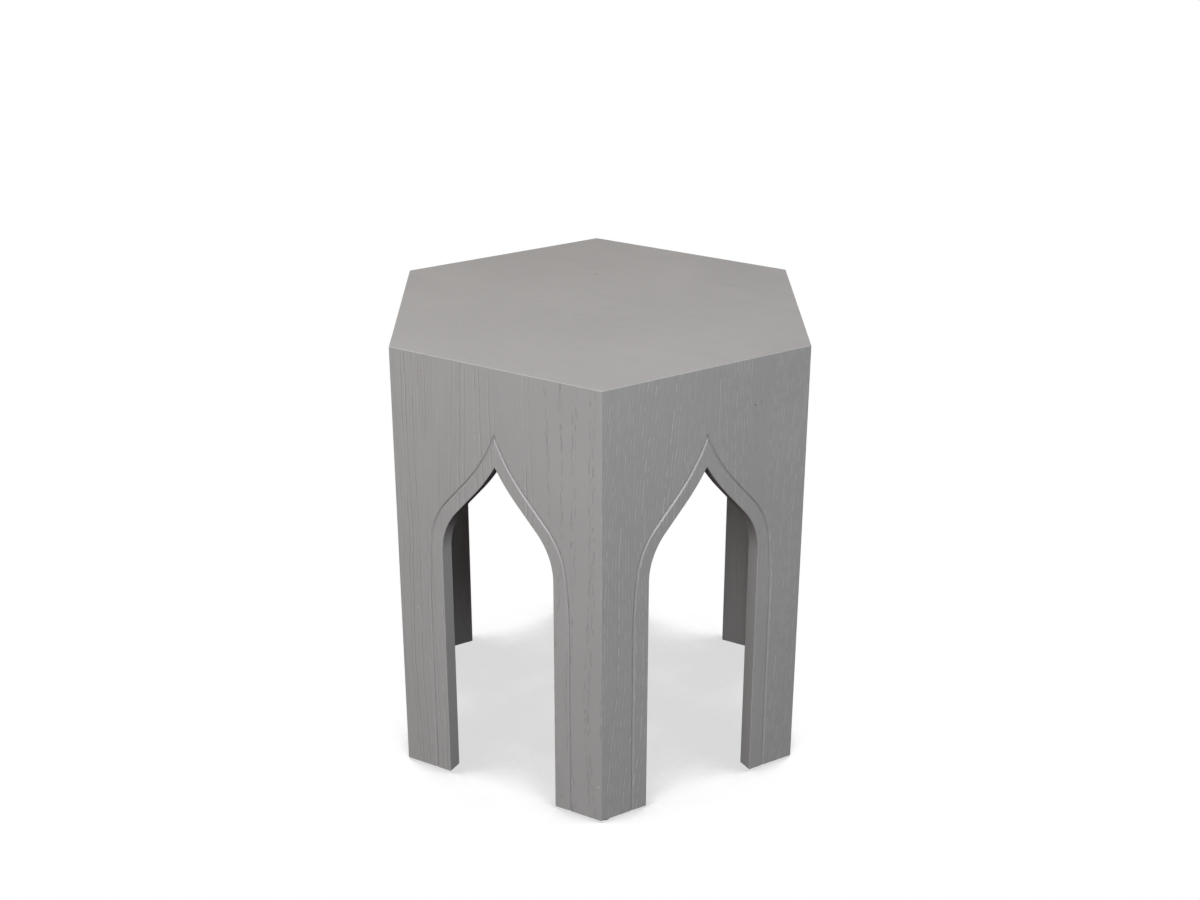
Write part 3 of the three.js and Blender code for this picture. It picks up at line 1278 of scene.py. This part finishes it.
@dataclass(frozen=True)
class OpenGrain:
    """Open-grain veneer under thin paint, as a shared effect.

    The year rings run in arches about a centre line and close up into long lines on both sides of
    it. Rates are per metre, across the grain first. Widths are shares of the space between lines,
    and depths are in millimetres. A pair that isn't rates says where a thing begins to show, and
    where it shows in full.

    Attributes:
        sway: How far the lines wander.
        sway_rates: How often they do.
        steep: How much longer the arches are than wide.
        tip: Half width of an arch's rounded tip.
        straight: How far from the centre line the lines run straight along the board.
        ring_rate: How close the rings are.
        fine_rate: How close the fine lines between them are.
        crowd: How much closer together some rings are than others.
        crowd_rates: How often that changes.
        rag: How ragged the lines are.
        rag_rates: How fine that is.
        furrow_width: Half width of a furrow.
        row_width: Half width of a row of dashes, where painted highlight and shade go.
        row_shift: How far beside the furrow the row lies.
        heart: How far from the centre line the rows begin.
        strip_width: Half width of a strip of pores.
        strip_share: Which rings hold pores, by their own number.
        faint: How strong the faintest ring is.
        fade_rates: How often a furrow fades along its run.
        fade_range: Where the noise fades it.
        break_rates: How often a row breaks into dashes.
        break_range: Where the noise breaks it.
        calm_width: How softly the calm side sets in.
        pore_rates: How fine the pores are.
        pore_range: Where the noise turns into a pore.
        ground_rates: How fine the unevenness of the wood is.
        ground_depth: How deep that is.
        fine_share: How deep the fine lines are against the furrows.
        furrow_depth: Depth of the furrows.
        pore_depth: Depth of the pores.
    """

    sway: float = 0.05
    sway_rates: Pair = (9.0, 2.2)
    steep: float = 9.0
    tip: float = 0.004
    straight: float = 0.104
    ring_rate: float = 200.0
    fine_rate: float = 400.0
    crowd: float = 1.3
    crowd_rates: Pair = (30.0, 1.5)
    rag: float = 0.5
    rag_rates: Pair = (170.0, 26.0)
    furrow_width: float = 0.14
    row_width: Pair = (0.15, 0.06)
    row_shift: float = 0.2
    heart: Pair = (0.008, 0.016)
    strip_width: Pair = (0.4, 0.25)
    strip_share: Pair = (0.5, 0.6)
    faint: float = 0.25
    fade_rates: Pair = (60.0, 7.0)
    fade_range: Pair = (0.27, 0.47)
    break_rates: Pair = (130.0, 65.0)
    break_range: Pair = (0.45, 0.55)
    calm_width: float = 0.025
    pore_rates: Pair = (1400.0, 120.0)
    pore_range: Pair = (0.62, 0.7)
    ground_rates: Pair = (180.0, 40.0)
    ground_depth: float = 0.02
    fine_share: float = 0.2
    furrow_depth: float = 0.25
    pore_depth: float = 0.15

    @cache
    def build(self) -> bpy.types.NodeTree:
        """Make the group, which gives the relief in millimetres, and the furrows, rows and pores.

        Returns:
            The node group.
        """
        numbers = {"Centre": 0.0, "Tips": 1.0, "Calm": 1.0, "Calm Pores": 1.0, "Pores": 1.0}
        outputs = ["Relief", "Furrows", "Rows", "Pores"]
        effect = SharedEffect.start("open_grain", numbers, outputs)
        wire, given = effect.wire, effect.given
        across, along, board = wire.split(given["Vector"])

        def noise(place: Feed, rates: Pair, detail: float = 0.0) -> Socket:
            """Noise in the board's own grain."""
            spot = wire.times(place, rates[0]), wire.times(along, rates[1])
            return wire.noise(wire.joined(*spot, wire.math("ADD", board, rates[0])), detail=detail)

        wander = wire.times_plus(noise(across, self.sway_rates, SOME_DETAIL), self.sway, across)
        aside = wire.math("SUBTRACT", wander, given["Centre"])
        aside = wire.math("SUBTRACT", aside, self.sway / 2)
        away = wire.math("SQRT", wire.times_plus(aside, aside, self.tip**2))
        lean = wire.times_plus(away, -1.0 / self.straight, 1.0)
        run = wire.times_plus(wire.times(lean, given["Tips"], along), 1.0 / self.steep, away)
        rag = wire.times(noise(across, self.rag_rates), self.rag)
        shift = wire.times_plus(noise(run, self.crowd_rates), self.crowd, rag)
        phase = wire.times_plus(run, self.ring_rate, shift)
        off_ring = wire.math("PINGPONG", phase, HALF_SPACE)
        off_row = wire.math("PINGPONG", wire.math("ADD", phase, self.row_shift), HALF_SPACE)
        number = wire.math("ADD", wire.math("ROUND", phase), board)
        own = wire.add("ShaderNodeTexWhiteNoise", {"W": number}, noise_dimensions="1D").outputs[0]
        strength = wire.fade(own, 0.0, 1.0, self.faint, 1.0)
        fine_phase = wire.times_plus(run, self.fine_rate, shift)
        off_fine = wire.math("PINGPONG", fine_phase, HALF_SPACE)
        fine = wire.fade(off_fine, 2 * self.furrow_width, 0.0)
        calm = wire.fade(wire.math("SUBTRACT", across, given["Calm"]), 0.0, self.calm_width)
        lively = wire.math("SUBTRACT", 1.0, calm)
        furrows = wire.times(wire.fade(off_ring, self.furrow_width, 0.0), strength)
        furrows = wire.times_plus(fine, self.fine_share, furrows)
        fading = wire.fade(noise(run, self.fade_rates), *self.fade_range)
        furrows = wire.times(furrows, fading, lively)
        breaks = wire.fade(noise(run, self.break_rates, SOME_DETAIL), *self.break_range)
        # Rows of dashes beside the furrows have no relief: they only place painted highlight and
        # shade.
        rows = wire.times(wire.fade(off_row, *self.row_width), strength)
        rows = wire.times(rows, breaks, lively)
        rows = wire.times(rows, wire.fade(away, *self.heart))
        strip, holds = wire.fade(off_ring, *self.strip_width), wire.fade(own, *self.strip_share)
        strips = wire.times(strip, holds)
        pores = wire.times(wire.fade(noise(run, self.pore_rates), *self.pore_range), strips)
        share = wire.times(lively, given["Pores"])
        pores = wire.times(pores, wire.times_plus(calm, given["Calm Pores"], share))
        ground = wire.times(noise(run, self.ground_rates, MORE_DETAIL), self.ground_depth)
        sunk = wire.times_plus(furrows, -self.furrow_depth, ground)
        relief = wire.times_plus(pores, -self.pore_depth, sunk)
        return effect.end(dict(zip(outputs, (relief, furrows, rows, pores))))


@cache
def paint_film() -> bpy.types.NodeTree:
    """The paint's slow clouds, from 0 to 1, and the relief of its orange peel in millimetres.

    Returns:
        The node group.
    """
    effect = SharedEffect.start("paint_film", PAINT_FILM, ["Clouds", "Peel"])
    wire, given = effect.wire, effect.given
    clouds = wire.noise(given["Vector"], given["Cloud Rate"], MOST_DETAIL)
    peel = wire.noise(given["Vector"], given["Peel Rate"], SOME_DETAIL)
    return effect.end({"Clouds": clouds, "Peel": wire.times(peel, given["Peel"])})


@cache
def small_mark() -> bpy.types.NodeTree:
    """A small ragged mark, as a mask; the vector is the place on the board, across and up.

    Returns:
        The node group.
    """
    numbers = {"Across": 0.0, "Up": 0.0, "Half Width": 0.001, "Half Height": 0.001}
    effect = SharedEffect.start("small_mark", numbers, ["Mask"])
    wire, given = effect.wire, effect.given
    across, up, _ = wire.split(given["Vector"])

    def reach(value: Feed, centre: str, half: str) -> Socket:
        """Distance from the mark's middle as a share of its half size, squared."""
        share = wire.math("DIVIDE", wire.math("SUBTRACT", value, given[centre]), given[half])
        return wire.times(share, share)

    squares = wire.math("ADD", reach(across, "Across", "Half Width"), reach(up, "Up", "Half Height"))
    ragged = wire.times_plus(wire.noise(given["Vector"], MARK_RATE), MARK_RAG, squares)
    return effect.end({"Mask": wire.fade(ragged, *MARK_EDGE)})


# Finishes


@dataclass(frozen=True)
class Making:
    """A material in the making.

    Attributes:
        material: The material.
        wire: Its wiring.
        shader: Its shader.
    """

    material: bpy.types.Material
    wire: Wiring
    shader: bpy.types.Node

    @classmethod
    def start(cls, name: str) -> "Making":
        """Start a material.

        Args:
            name: The material's name.

        Returns:
            The material in the making.
        """
        material = bpy.data.materials.new(name)
        material.use_nodes = True
        wire = Wiring(material.node_tree)
        return cls(material, wire, wire.found("BSDF_PRINCIPLED"))

    def place(self, turn: float = 0.0) -> Socket:
        """The place on a piece, as if its side faced +X.

        Args:
            turn: How far the piece is turned.

        Returns:
            The place.
        """
        place = self.wire.add("ShaderNodeTexCoord", {}).outputs["Object"]
        feeds = {"Vector": place, "Rotation": (0.0, 0.0, -turn)}
        return self.wire.add("ShaderNodeMapping", feeds, vector_type="POINT").outputs[0]

    def film(self, place: Socket, numbers: Iterable[float] = PAINT_FILM.values()) -> Feeds:
        """The clouds and the relief of a film, by name, from the numbers of its paint_film."""
        return self.wire.group(paint_film(), {"Vector": place, **dict(zip(PAINT_FILM, numbers))})

    def end(self, colour: Feed, rough: Feed, relief: Feed) -> bpy.types.Material:
        """Wire up the shader and give the finished material, its relief in millimetres.

        Args:
            colour: Colour of the surface.
            rough: Its roughness.
            relief: Its relief in millimetres.

        Returns:
            The material.
        """
        self.wire.give(self.shader.inputs["Base Color"], colour)
        self.wire.give(self.shader.inputs["Roughness"], rough)
        feeds = {"Height": relief, "Distance": MILLIMETRE, "Strength": 1.0}
        bump = self.wire.add("ShaderNodeBump", feeds).outputs[0]
        self.wire.give(self.shader.inputs["Normal"], bump)
        return self.material


@dataclass(frozen=True)
class Nick:
    """A small mark in the paint.

    Attributes:
        across: From the board's middle to the mark, to the right seen from outside.
        level: The mark's level.
        half_width: Half its width.
        half_height: Half its height.
        colour: What shows in it.
    """

    across: float
    level: float
    half_width: float
    half_height: float
    colour: Colour


@dataclass(frozen=True)
class PaintedVeneer:
    """Satin grey paint over open-grain veneer.

    Attributes:
        name: The material's name.
        turn: How far the piece is turned from one that faces +X.
        number: Tells the boards' grain apart.
        marks: The nicks in the board.
        flat: Whether it is the top, whose grain lies across the stool.
        centre: Where the figure's centre line is, across the grain.
        tips: 1 where the figure's tips point along the grain, and -1 where they point back.
        calm: Where the board's calm side begins, across it.
        furrow_tone: Brightness of the furrows against the paint, a painted shade.
        row_tone: Brightness of the rows of dashes against the paint: a painted highlight above 1,
            and a painted shade below it.
        pore_tone: Brightness of the pores against the paint, a painted shade.
        pores: How full of pores the rings are.
        calm_pores: How full they are on the calm side.
        lines: How deep the relief of the long lines is.
        paint: Colour of the paint.
        cloudiness: How much the paint's tone wanders.
        roughness: Roughness of the paint.
        rough_wander: How much that wanders.
        pore_rough: How much rougher the pores are.
        skin: How far the veneer's face is followed round the edges.
    """

    name: str
    turn: float
    number: float
    marks: tuple[Nick, ...] = ()
    flat: bool = False
    centre: float = 0.03
    tips: float = 1.0
    calm: float = 1.0
    furrow_tone: float = 0.94
    row_tone: float = 1.0
    pore_tone: float = 0.8
    pores: float = 0.3
    calm_pores: float = 1.0
    lines: float = 1.0
    paint: Colour = (0.345, 0.336, 0.326, 1.0)
    cloudiness: float = 0.02
    roughness: float = 0.4
    rough_wander: float = 0.08
    pore_rough: float = 0.2
    skin: float = 0.0007

    def build(self, size: Carcase) -> bpy.types.Material:
        """Make the material; the stool's main sizes say where the veneered faces are.

        Args:
            size: The stool's main sizes.

        Returns:
            The material.
        """
        making = Making.start(self.name)
        wire = making.wire
        place = making.place(self.turn)
        out, across, up = wire.split(place)
        if self.flat:
            veneered = wire.fade(up, size.top - self.skin, size.top - self.skin / 2)
            spot = (out, across)
        else:
            outer = wire.fade(out, size.face - self.skin, size.face - self.skin / 2)
            inner = wire.fade(out, size.inner + self.skin, size.inner + self.skin / 2)
            veneered = wire.math("MAXIMUM", outer, inner)
            spot = (across, up)
        feeds = {
            "Vector": wire.joined(*spot, self.number),
            "Centre": self.centre,
            "Tips": self.tips,
            "Calm": self.calm,
            "Calm Pores": self.calm_pores,
            "Pores": self.pores,
        }
        grain = wire.group(OpenGrain().build(), feeds)
        film = making.film(place)
        tone_range = 1.0 - self.cloudiness, 1.0 + self.cloudiness
        tone = wire.fade(film["Clouds"], *NOISE_RANGE, *tone_range)
        pores = wire.times(grain["Pores"], veneered)
        # Painted shade in the furrows and pores, and painted highlight and shade along the rows of
        # dashes: the grain's relief given in colour.
        relief_light = {"Furrows": self.furrow_tone, "Rows": self.row_tone, "Pores": self.pore_tone}
        for name, level in relief_light.items():
            tone = wire.times_plus(wire.times(grain[name], veneered), level - 1.0, tone)
        colour = wire.tinted(1.0, self.paint, wire.grey(tone), "MULTIPLY")
        for mark in self.marks:
            feeds = {
                "Vector": wire.joined(*spot, 0.0),
                "Across": mark.across,
                "Up": mark.level,
                "Half Width": mark.half_width,
                "Half Height": mark.half_height,
            }
            share = wire.times(wire.group(small_mark(), feeds)["Mask"], veneered)
            colour = wire.tinted(share, colour, mark.colour)
        smoothest = self.roughness - self.rough_wander / 2
        rough = wire.times_plus(film["Clouds"], self.rough_wander, smoothest)
        rough = wire.times_plus(pores, self.pore_rough, rough)
        relief = wire.times(grain["Relief"], self.lines, veneered)
        return making.end(colour, rough, wire.math("ADD", relief, film["Peel"]))


@dataclass(frozen=True)
class SprayedSoftwood:
    """Planed softwood with one thin coat of the same grey.

    Attributes:
        name: The material's name.
        turn: How far the piece is turned from one along Y.
        paint: Colour of the coat.
        bare: Colour of the wood that shows through it.
        roughness: Roughness of the coat where it is thick, and where it is thin.
        grain_rates: How fine the grain is, across it and along it.
        grain_depth: How deep it is, in millimetres.
        film: Rates of the coat's clouds and peel, and the peel's depth.
        thin_range: Where the coat gets thin, and where it is thinnest.
        thinnest: How much of the wood shows there.
    """

    name: str
    turn: float
    paint: Colour = (0.285, 0.277, 0.268, 1.0)
    bare: Colour = (0.42, 0.33, 0.22, 1.0)
    roughness: Pair = (0.72, 0.9)
    grain_rates: Pair = (420.0, 14.0)
    grain_depth: float = 0.12
    film: Triple = (60.0, 260.0, 0.03)
    thin_range: Pair = (0.3, 0.45)
    thinnest: float = 0.55

    def build(self) -> bpy.types.Material:
        """Make the material.

        Returns:
            The material.
        """
        making = Making.start(self.name)
        wire = making.wire
        place = making.place(self.turn)
        fine, long = self.grain_rates
        spot = [wire.times(part, rate) for part, rate in zip(wire.split(place), (fine, long, fine))]
        lines = wire.noise(wire.joined(*spot), detail=MORE_DETAIL)
        film = making.film(place, self.film)
        thin = wire.fade(wire.times(lines, film["Clouds"]), *self.thin_range, 0.0, self.thinnest)
        colour = wire.tinted(thin, self.paint, self.bare)
        rough = wire.fade(lines, *NOISE_RANGE, *self.roughness)
        return making.end(colour, rough, wire.times_plus(lines, self.grain_depth, film["Peel"]))


@dataclass(frozen=True)
class BirchPly:
    """Sawn birch plywood, whose plies run the length of a spline.

    Attributes:
        name: The material's name.
        turn: How far the spline is turned from one at the front corner or on the right side.
        across: Which way the plies are stacked, before that turn.
        ply: Thickness of one ply.
        ply_edge: How soft the plies' edges are.
        ply_share: How dark the dark plies are.
        pale: Colour of the plies that run lengthwise.
        dark: Colour of the end grain between them.
        fibre_rate: How fine the fibres are.
        fibre_share: How dark they are.
        fibre_depth: How deep they are, in millimetres.
        roughness: Roughness of the smoothest and of the roughest fibres.
    """

    name: str
    turn: float
    across: Triple
    ply: float = 0.0008
    ply_edge: float = 0.25
    ply_share: float = 0.6
    pale: Colour = (0.62, 0.47, 0.29, 1.0)
    dark: Colour = (0.33, 0.21, 0.11, 1.0)
    fibre_rate: float = 320.0
    fibre_share: float = 0.35
    fibre_depth: float = 0.08
    roughness: Pair = (0.7, 0.9)

    def build(self) -> bpy.types.Material:
        """Make the material.

        Returns:
            The material.
        """
        making = Making.start(self.name)
        wire = making.wire
        place = making.place(self.turn)
        feeds = {0: place, 1: self.across}
        depth = wire.add("ShaderNodeVectorMath", feeds, operation="DOT_PRODUCT").outputs["Value"]
        fibre = wire.noise(place, self.fibre_rate, MOST_DETAIL)
        wave = wire.math("SINE", wire.times(depth, math.pi / self.ply))
        plies = wire.times(wire.fade(wave, -self.ply_edge, self.ply_edge), self.ply_share)
        share = wire.times_plus(fibre, self.fibre_share, plies)
        colour = wire.tinted(share, self.pale, self.dark)
        rough = wire.fade(fibre, *NOISE_RANGE, *self.roughness)
        return making.end(colour, rough, wire.times(fibre, self.fibre_depth))


@dataclass(frozen=True)
class PlatedSteel:
    """Zinc-plated steel, a little yellow, with a fine cast in the plating.

    Attributes:
        name: The material's name.
        bright: Colour of the clean plating.
        dull: Colour of the duller patches.
        film: Rates of the plating's clouds and peel, and the peel's depth.
        dull_range: Where the clouds begin to be dull, and where they are dullest.
        roughness: Roughness of the clean plating and of the dull patches.
    """

    name: str = "zinc_plated_steel"
    bright: Colour = (0.68, 0.66, 0.60, 1.0)
    dull: Colour = (0.50, 0.47, 0.38, 1.0)
    film: Triple = (420.0, 2600.0, 0.004)
    dull_range: Pair = (0.35, 0.65)
    roughness: Pair = (0.28, 0.42)

    def build(self) -> bpy.types.Material:
        """Make the material.

        Returns:
            The material.
        """
        making = Making.start(self.name)
        film = making.film(making.place(), self.film)
        clouds = making.wire.fade(film["Clouds"], *self.dull_range)
        colour = making.wire.tinted(clouds, self.bright, self.dull)
        making.shader.inputs["Metallic"].default_value = 1.0
        return making.end(colour, making.wire.fade(clouds, 0.0, 1.0, *self.roughness), film["Peel"])


@dataclass(frozen=True)
class MouldedPlastic:
    """Grey moulded plastic, scuffed where it meets the floor.

    Attributes:
        name: The material's name.
        body: Colour of the plastic.
        scuffed: Colour of the scuffs.
        scuff_height: How far up from the floor the scuffs reach.
        scuff_range: Where the clouds begin to be scuffed, and where they are all scuffed.
        film: Rates of the plastic's clouds and peel, and the peel's depth.
        roughness: Roughness of the clean plastic and of the scuffs.
    """

    name: str = "grey_glide_plastic"
    body: Colour = (0.29, 0.285, 0.28, 1.0)
    scuffed: Colour = (0.40, 0.395, 0.39, 1.0)
    scuff_height: float = 0.0006
    scuff_range: Pair = (0.4, 0.6)
    film: Triple = (900.0, 3200.0, 0.02)
    roughness: Pair = (0.5, 0.75)

    def build(self) -> bpy.types.Material:
        """Make the material.

        Returns:
            The material.
        """
        making = Making.start(self.name)
        wire = making.wire
        place = making.place()
        _, _, up = wire.split(place)
        film = making.film(place, self.film)
        rubbed = wire.fade(film["Clouds"], *self.scuff_range)
        worn = wire.times(rubbed, wire.fade(up, self.scuff_height, 0.0))
        colour = wire.tinted(worn, self.body, self.scuffed)
        return making.end(colour, wire.fade(worn, 0.0, 1.0, *self.roughness), film["Peel"])


# Dressing

RUST = (0.42, 0.14, 0.07, 1.0)
DARK = (0.10, 0.045, 0.04, 1.0)
BARE = (0.62, 0.58, 0.52, 1.0)
# Painted shade of a small dent in the top, which has no relief of its own.
DENT_SHADE = (0.23, 0.21, 0.20, 1.0)
NICKS = {
    "top": (Nick(-0.0949, -0.0577, 0.0009, 0.0034, DENT_SHADE),),
    "front_left": (
        Nick(-0.091, 0.4878, 0.0007, 0.0006, RUST),
        Nick(-0.087, 0.4876, 0.0007, 0.0006, RUST),
        Nick(-0.1047, 0.2063, 0.0014, 0.0005, BARE),
        Nick(0.1236, 0.0457, 0.0011, 0.0009, BARE),
    ),
    "front_right": (
        Nick(0.058, 0.4543, 0.0006, 0.0012, DARK),
        Nick(0.062, 0.4413, 0.0005, 0.0009, DARK),
    ),
}
# Each board's figure. Its furrow and row brightnesses are painted shade and highlight of the grain,
# set for the light on that board.
FIGURES = {
    "top": dict(flat=True, centre=0.0, pores=0.1, lines=0.12, row_tone=0.89),
    "front_left": dict(
        centre=-0.30, tips=0.0, calm=0.036, pores=0.04, furrow_tone=0.93, row_tone=1.11, lines=1.05
    ),
    "front_right": dict(centre=0.07, tips=-1.0, row_tone=1.36, lines=0.35),
}
TOP_TURN = math.radians(-120)
TOP_NUMBER = 3.7
FIRST_NUMBER = 10.0
NUMBER_STEP = 7.3


@dataclass(frozen=True)
class Dressing:
    """Which finish goes on which piece.

    Attributes:
        size: The stool's main sizes.
    """

    size: Carcase

    def paint_boards(self, boards: Pieces) -> None:
        """Give every board its own veneer.

        Args:
            boards: The boards, by the nodes that they stand for.
        """
        for node, piece in boards.items():
            label = node.removeprefix("side_board_").removesuffix("_board")
            turn, number = TOP_TURN, TOP_NUMBER
            if label != "top":
                side = Side[label.upper()]
                turn, number = side.turn, FIRST_NUMBER + NUMBER_STEP * side.value
            marks, figure = NICKS.get(label, ()), FIGURES.get(label, {})
            veneer = PaintedVeneer(f"painted_veneer_{label}", turn, number, marks, **figure)
            self.dress(piece, veneer.build(self.size), "painted_board")

    def paint_bracing(self, pieces: Pieces) -> None:
        """Give the blocks and cleats their thin coat and the screws their plating.

        Args:
            pieces: The pieces, by the nodes that they stand for.
        """
        steel = PlatedSteel().build()
        for node, piece in pieces.items():
            if "screw" in node:
                self.dress(piece, steel, "plated_screw")
                continue
            label = node.removeprefix("glue_block_").removeprefix("cleat_")
            place = Side if node.startswith("cleat") else Corner
            coat = SprayedSoftwood(f"sprayed_softwood_{label}", place[label.upper()].turn)
            self.dress(piece, coat.build(), "painted_block")

    def finish_feet(self, pieces: Pieces) -> None:
        """Give the glides their plastic.

        Args:
            pieces: The glides, by the nodes that they stand for.
        """
        plastic = MouldedPlastic().build()
        for piece in pieces.values():
            self.dress(piece, plastic, "grey_plastic")

    @staticmethod
    def finish_splines() -> None:
        """Give the frame's own splines their plywood."""
        lean = (math.cos(MITRE), 0.0, math.sin(MITRE))
        kinds = (("corner", Corner, (0.0, 1.0, 0.0)), ("top", Side, lean))
        for kind, places, across in kinds:
            for place in places:
                node = f"{kind}_spline_{place.label}"
                ply = BirchPly(f"birch_ply_{place.label}", place.turn, across).build()
                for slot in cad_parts[node].material_slots:
                    slot.material = ply
                log.info("%s: %s", node, ply.name)

    @staticmethod
    def dress(piece: Piece, material: bpy.types.Material, slot: str) -> None:
        """Give a new piece its material.

        Args:
            piece: The piece.
            material: Its material.
            slot: Not used.
        """
        piece.data.materials.clear()
        piece.data.materials.append(material)


# Studio


def stand(name: str, data: bpy.types.ID, place: Matrix) -> Piece:
    """Stand a camera or a lamp at a place.

    Args:
        name: Its name.
        data: What it is.
        place: Where it stands and how it is turned.

    Returns:
        The new object.
    """
    thing = bpy.data.objects.new(name, data)
    thing.matrix_world = place
    bpy.context.collection.objects.link(thing)
    return thing


def aimed(azimuth: float, rise: float) -> Matrix:
    """A turn that points +Z away from the ground by a rise, from -Y towards +X by an azimuth."""
    return Matrix.Rotation(azimuth, 4, "Z") @ Matrix.Rotation(SQUARE - rise, 4, "X")


@dataclass(frozen=True)
class Lamp:
    """A soft square lamp that looks at the stool.

    Attributes:
        name: The lamp's name.
        azimuth: Where it stands, in degrees from the camera's own side towards the right.
        elevation: How high it stands, in degrees.
        power: Its power in watts.
        tint: Its colour.
        span: Width and height of its face.
        distance: How far it is from the stool.
    """

    name: str
    azimuth: float
    elevation: float
    power: float
    tint: Triple = (1.0, 1.0, 1.0)
    span: float = 1.2
    distance: float = 3.2

    def build(self) -> None:
        """Hang the lamp so that it looks at the stool's middle."""
        data = bpy.data.lights.new(self.name, "AREA")
        data.shape = "SQUARE"
        data.size = self.span
        data.energy = self.power
        data.color = self.tint
        turn = aimed(math.radians(self.azimuth), math.radians(self.elevation))
        away = Matrix.Translation(UP * self.distance)
        stand(self.name, data, Matrix.Translation(UP * LAMP_LEVEL) @ turn @ away)


@dataclass(frozen=True)
class Studio:
    """The camera, the pale floor, the lamps and the sky.

    Attributes:
        eye: Where the camera is.
        yaw: How far it looks to the right of +Y.
        pitch: How far it looks down.
        roll: How far it leans.
        lens: Its focal length in millimetres.
        sensor: Width of its sensor in millimetres.
        floor_span: Width of the floor.
        floor_bounce: Colour of the light that the floor throws back at the stool.
        shade: How dark the floor is under the stool.
        shade_range: How open the floor is where it is darkest, and where the shade ends.
        shade_reach: How far off something still shades the floor.
        shade_samples: Rays for the shade.
        sky: Brightness that lights the stool from all round.
        lamps: The lamps.
    """

    eye: Triple = (-0.0207, -1.8771, 1.1597)
    yaw: float = math.radians(0.6703)
    pitch: float = math.radians(23.7683)
    roll: float = math.radians(0.0754)
    lens: float = 53.768
    sensor: float = 36.0
    floor_span: float = 60.0
    floor_bounce: Colour = (0.060, 0.043, 0.042, 1.0)
    shade: float = 0.69
    shade_range: Pair = (0.47, 0.604)
    shade_reach: float = 1.2
    shade_samples: int = 32
    sky: float = 0.002
    lamps: tuple[Lamp, ...] = (
        Lamp("key", 15, 50, 206.0, (0.9, 0.94, 1.0), 1.9, 5.0),
        Lamp("front_left", -12, 35, 35.0, (0.94, 0.965, 1.0)),
        Lamp("left_low", -45, 15, 17.0, (1.0, 0.965, 0.935)),
        Lamp("left_high", -60, 60, 30.0, (1.0, 0.955, 0.91)),
        Lamp("overhead", 180, 60, 7.5, (1.0, 0.82, 0.70), 1.4, 2.2),
        Lamp("back_left", -140, 8, 20.0),
        Lamp("back_right", 140, 8, 14.0),
    )

    def build(self) -> None:
        """Set up the camera, the floor and the light."""
        self.set_camera()
        self.lay_floor()
        self.light_sky()
        for lamp in self.lamps:
            lamp.build()
        bpy.context.scene.view_settings.view_transform = "Standard"

    def set_camera(self) -> None:
        """Put the camera where the photograph was taken from."""
        data = bpy.data.cameras.new("camera")
        data.lens = self.lens
        data.sensor_width = self.sensor
        data.clip_end = 2 * self.floor_span
        turn = aimed(-self.yaw, self.pitch) @ Matrix.Rotation(self.roll, 4, "Z")
        place = Matrix.Translation(self.eye) @ turn
        bpy.context.scene.camera = stand("camera", data, place)

    def lay_floor(self) -> None:
        """Lay a plain floor that shows white, with a soft shade where the stool keeps light off."""
        bpy.ops.mesh.primitive_plane_add(size=self.floor_span, location=(0.0, 0.0, 0.0))
        floor = added("floor")
        making = Making.start("pale_floor")
        wire, shader = making.wire, making.shader
        shader.inputs["Base Color"].default_value = self.floor_bounce
        shader.inputs["Roughness"].default_value = 1.0
        shader.inputs["Specular IOR Level"].default_value = 0.0
        feeds = {"Distance": self.shade_reach}
        open_sky = wire.add("ShaderNodeAmbientOcclusion", feeds, samples=self.shade_samples)
        tone = wire.fade(open_sky.outputs["AO"], *self.shade_range, self.shade, 1.0)
        shown = wire.add("ShaderNodeEmission", {"Color": wire.grey(tone)})
        seen = wire.add("ShaderNodeLightPath", {}).outputs["Is Camera Ray"]
        feeds = {0: seen, 1: shader.outputs[0], 2: shown.outputs[0]}
        surface = wire.add("ShaderNodeMixShader", feeds).outputs[0]
        wire.give(wire.found("OUTPUT_MATERIAL").inputs["Surface"], surface)
        floor.data.materials.append(making.material)

    def light_sky(self) -> None:
        """Light the studio softly from all round, white to the camera."""
        world = bpy.data.worlds.new("studio")
        world.use_nodes = True
        wire = Wiring(world.node_tree)
        back = wire.found("BACKGROUND")
        seen = wire.add("ShaderNodeLightPath", {}).outputs["Is Camera Ray"]
        strength = wire.times_plus(seen, 1.0 - self.sky, self.sky)
        wire.give(back.inputs["Color"], (1.0, 1.0, 1.0, 1.0))
        wire.give(back.inputs["Strength"], strength)
        bpy.context.scene.world = world


def main() -> None:
    """Build the stool and the studio, and report each piece."""
    size = Carcase.from_frame()
    log.info("carcase: %s", size)
    Studio().build()
    screw, glide = Screw(), Glide()
    dressing = Dressing(size)
    boards = Boards(size, Arch(), screw, glide).build()
    dressing.paint_boards(boards)
    bracing = Bracing(size, screw).build()
    dressing.paint_bracing(bracing)
    feet = Feet(size, glide).build()
    dressing.finish_feet(feet)
    dressing.finish_splines()
    for node, piece in {**boards, **bracing, **feet}.items():
        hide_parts(node)
        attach(piece, BODY)
        log.info("%s for %s: %d faces", piece.name, node, len(piece.data.polygons))


if __name__ == "__main__":
    logging.basicConfig(level=logging.INFO, format="%(message)s")
    main()
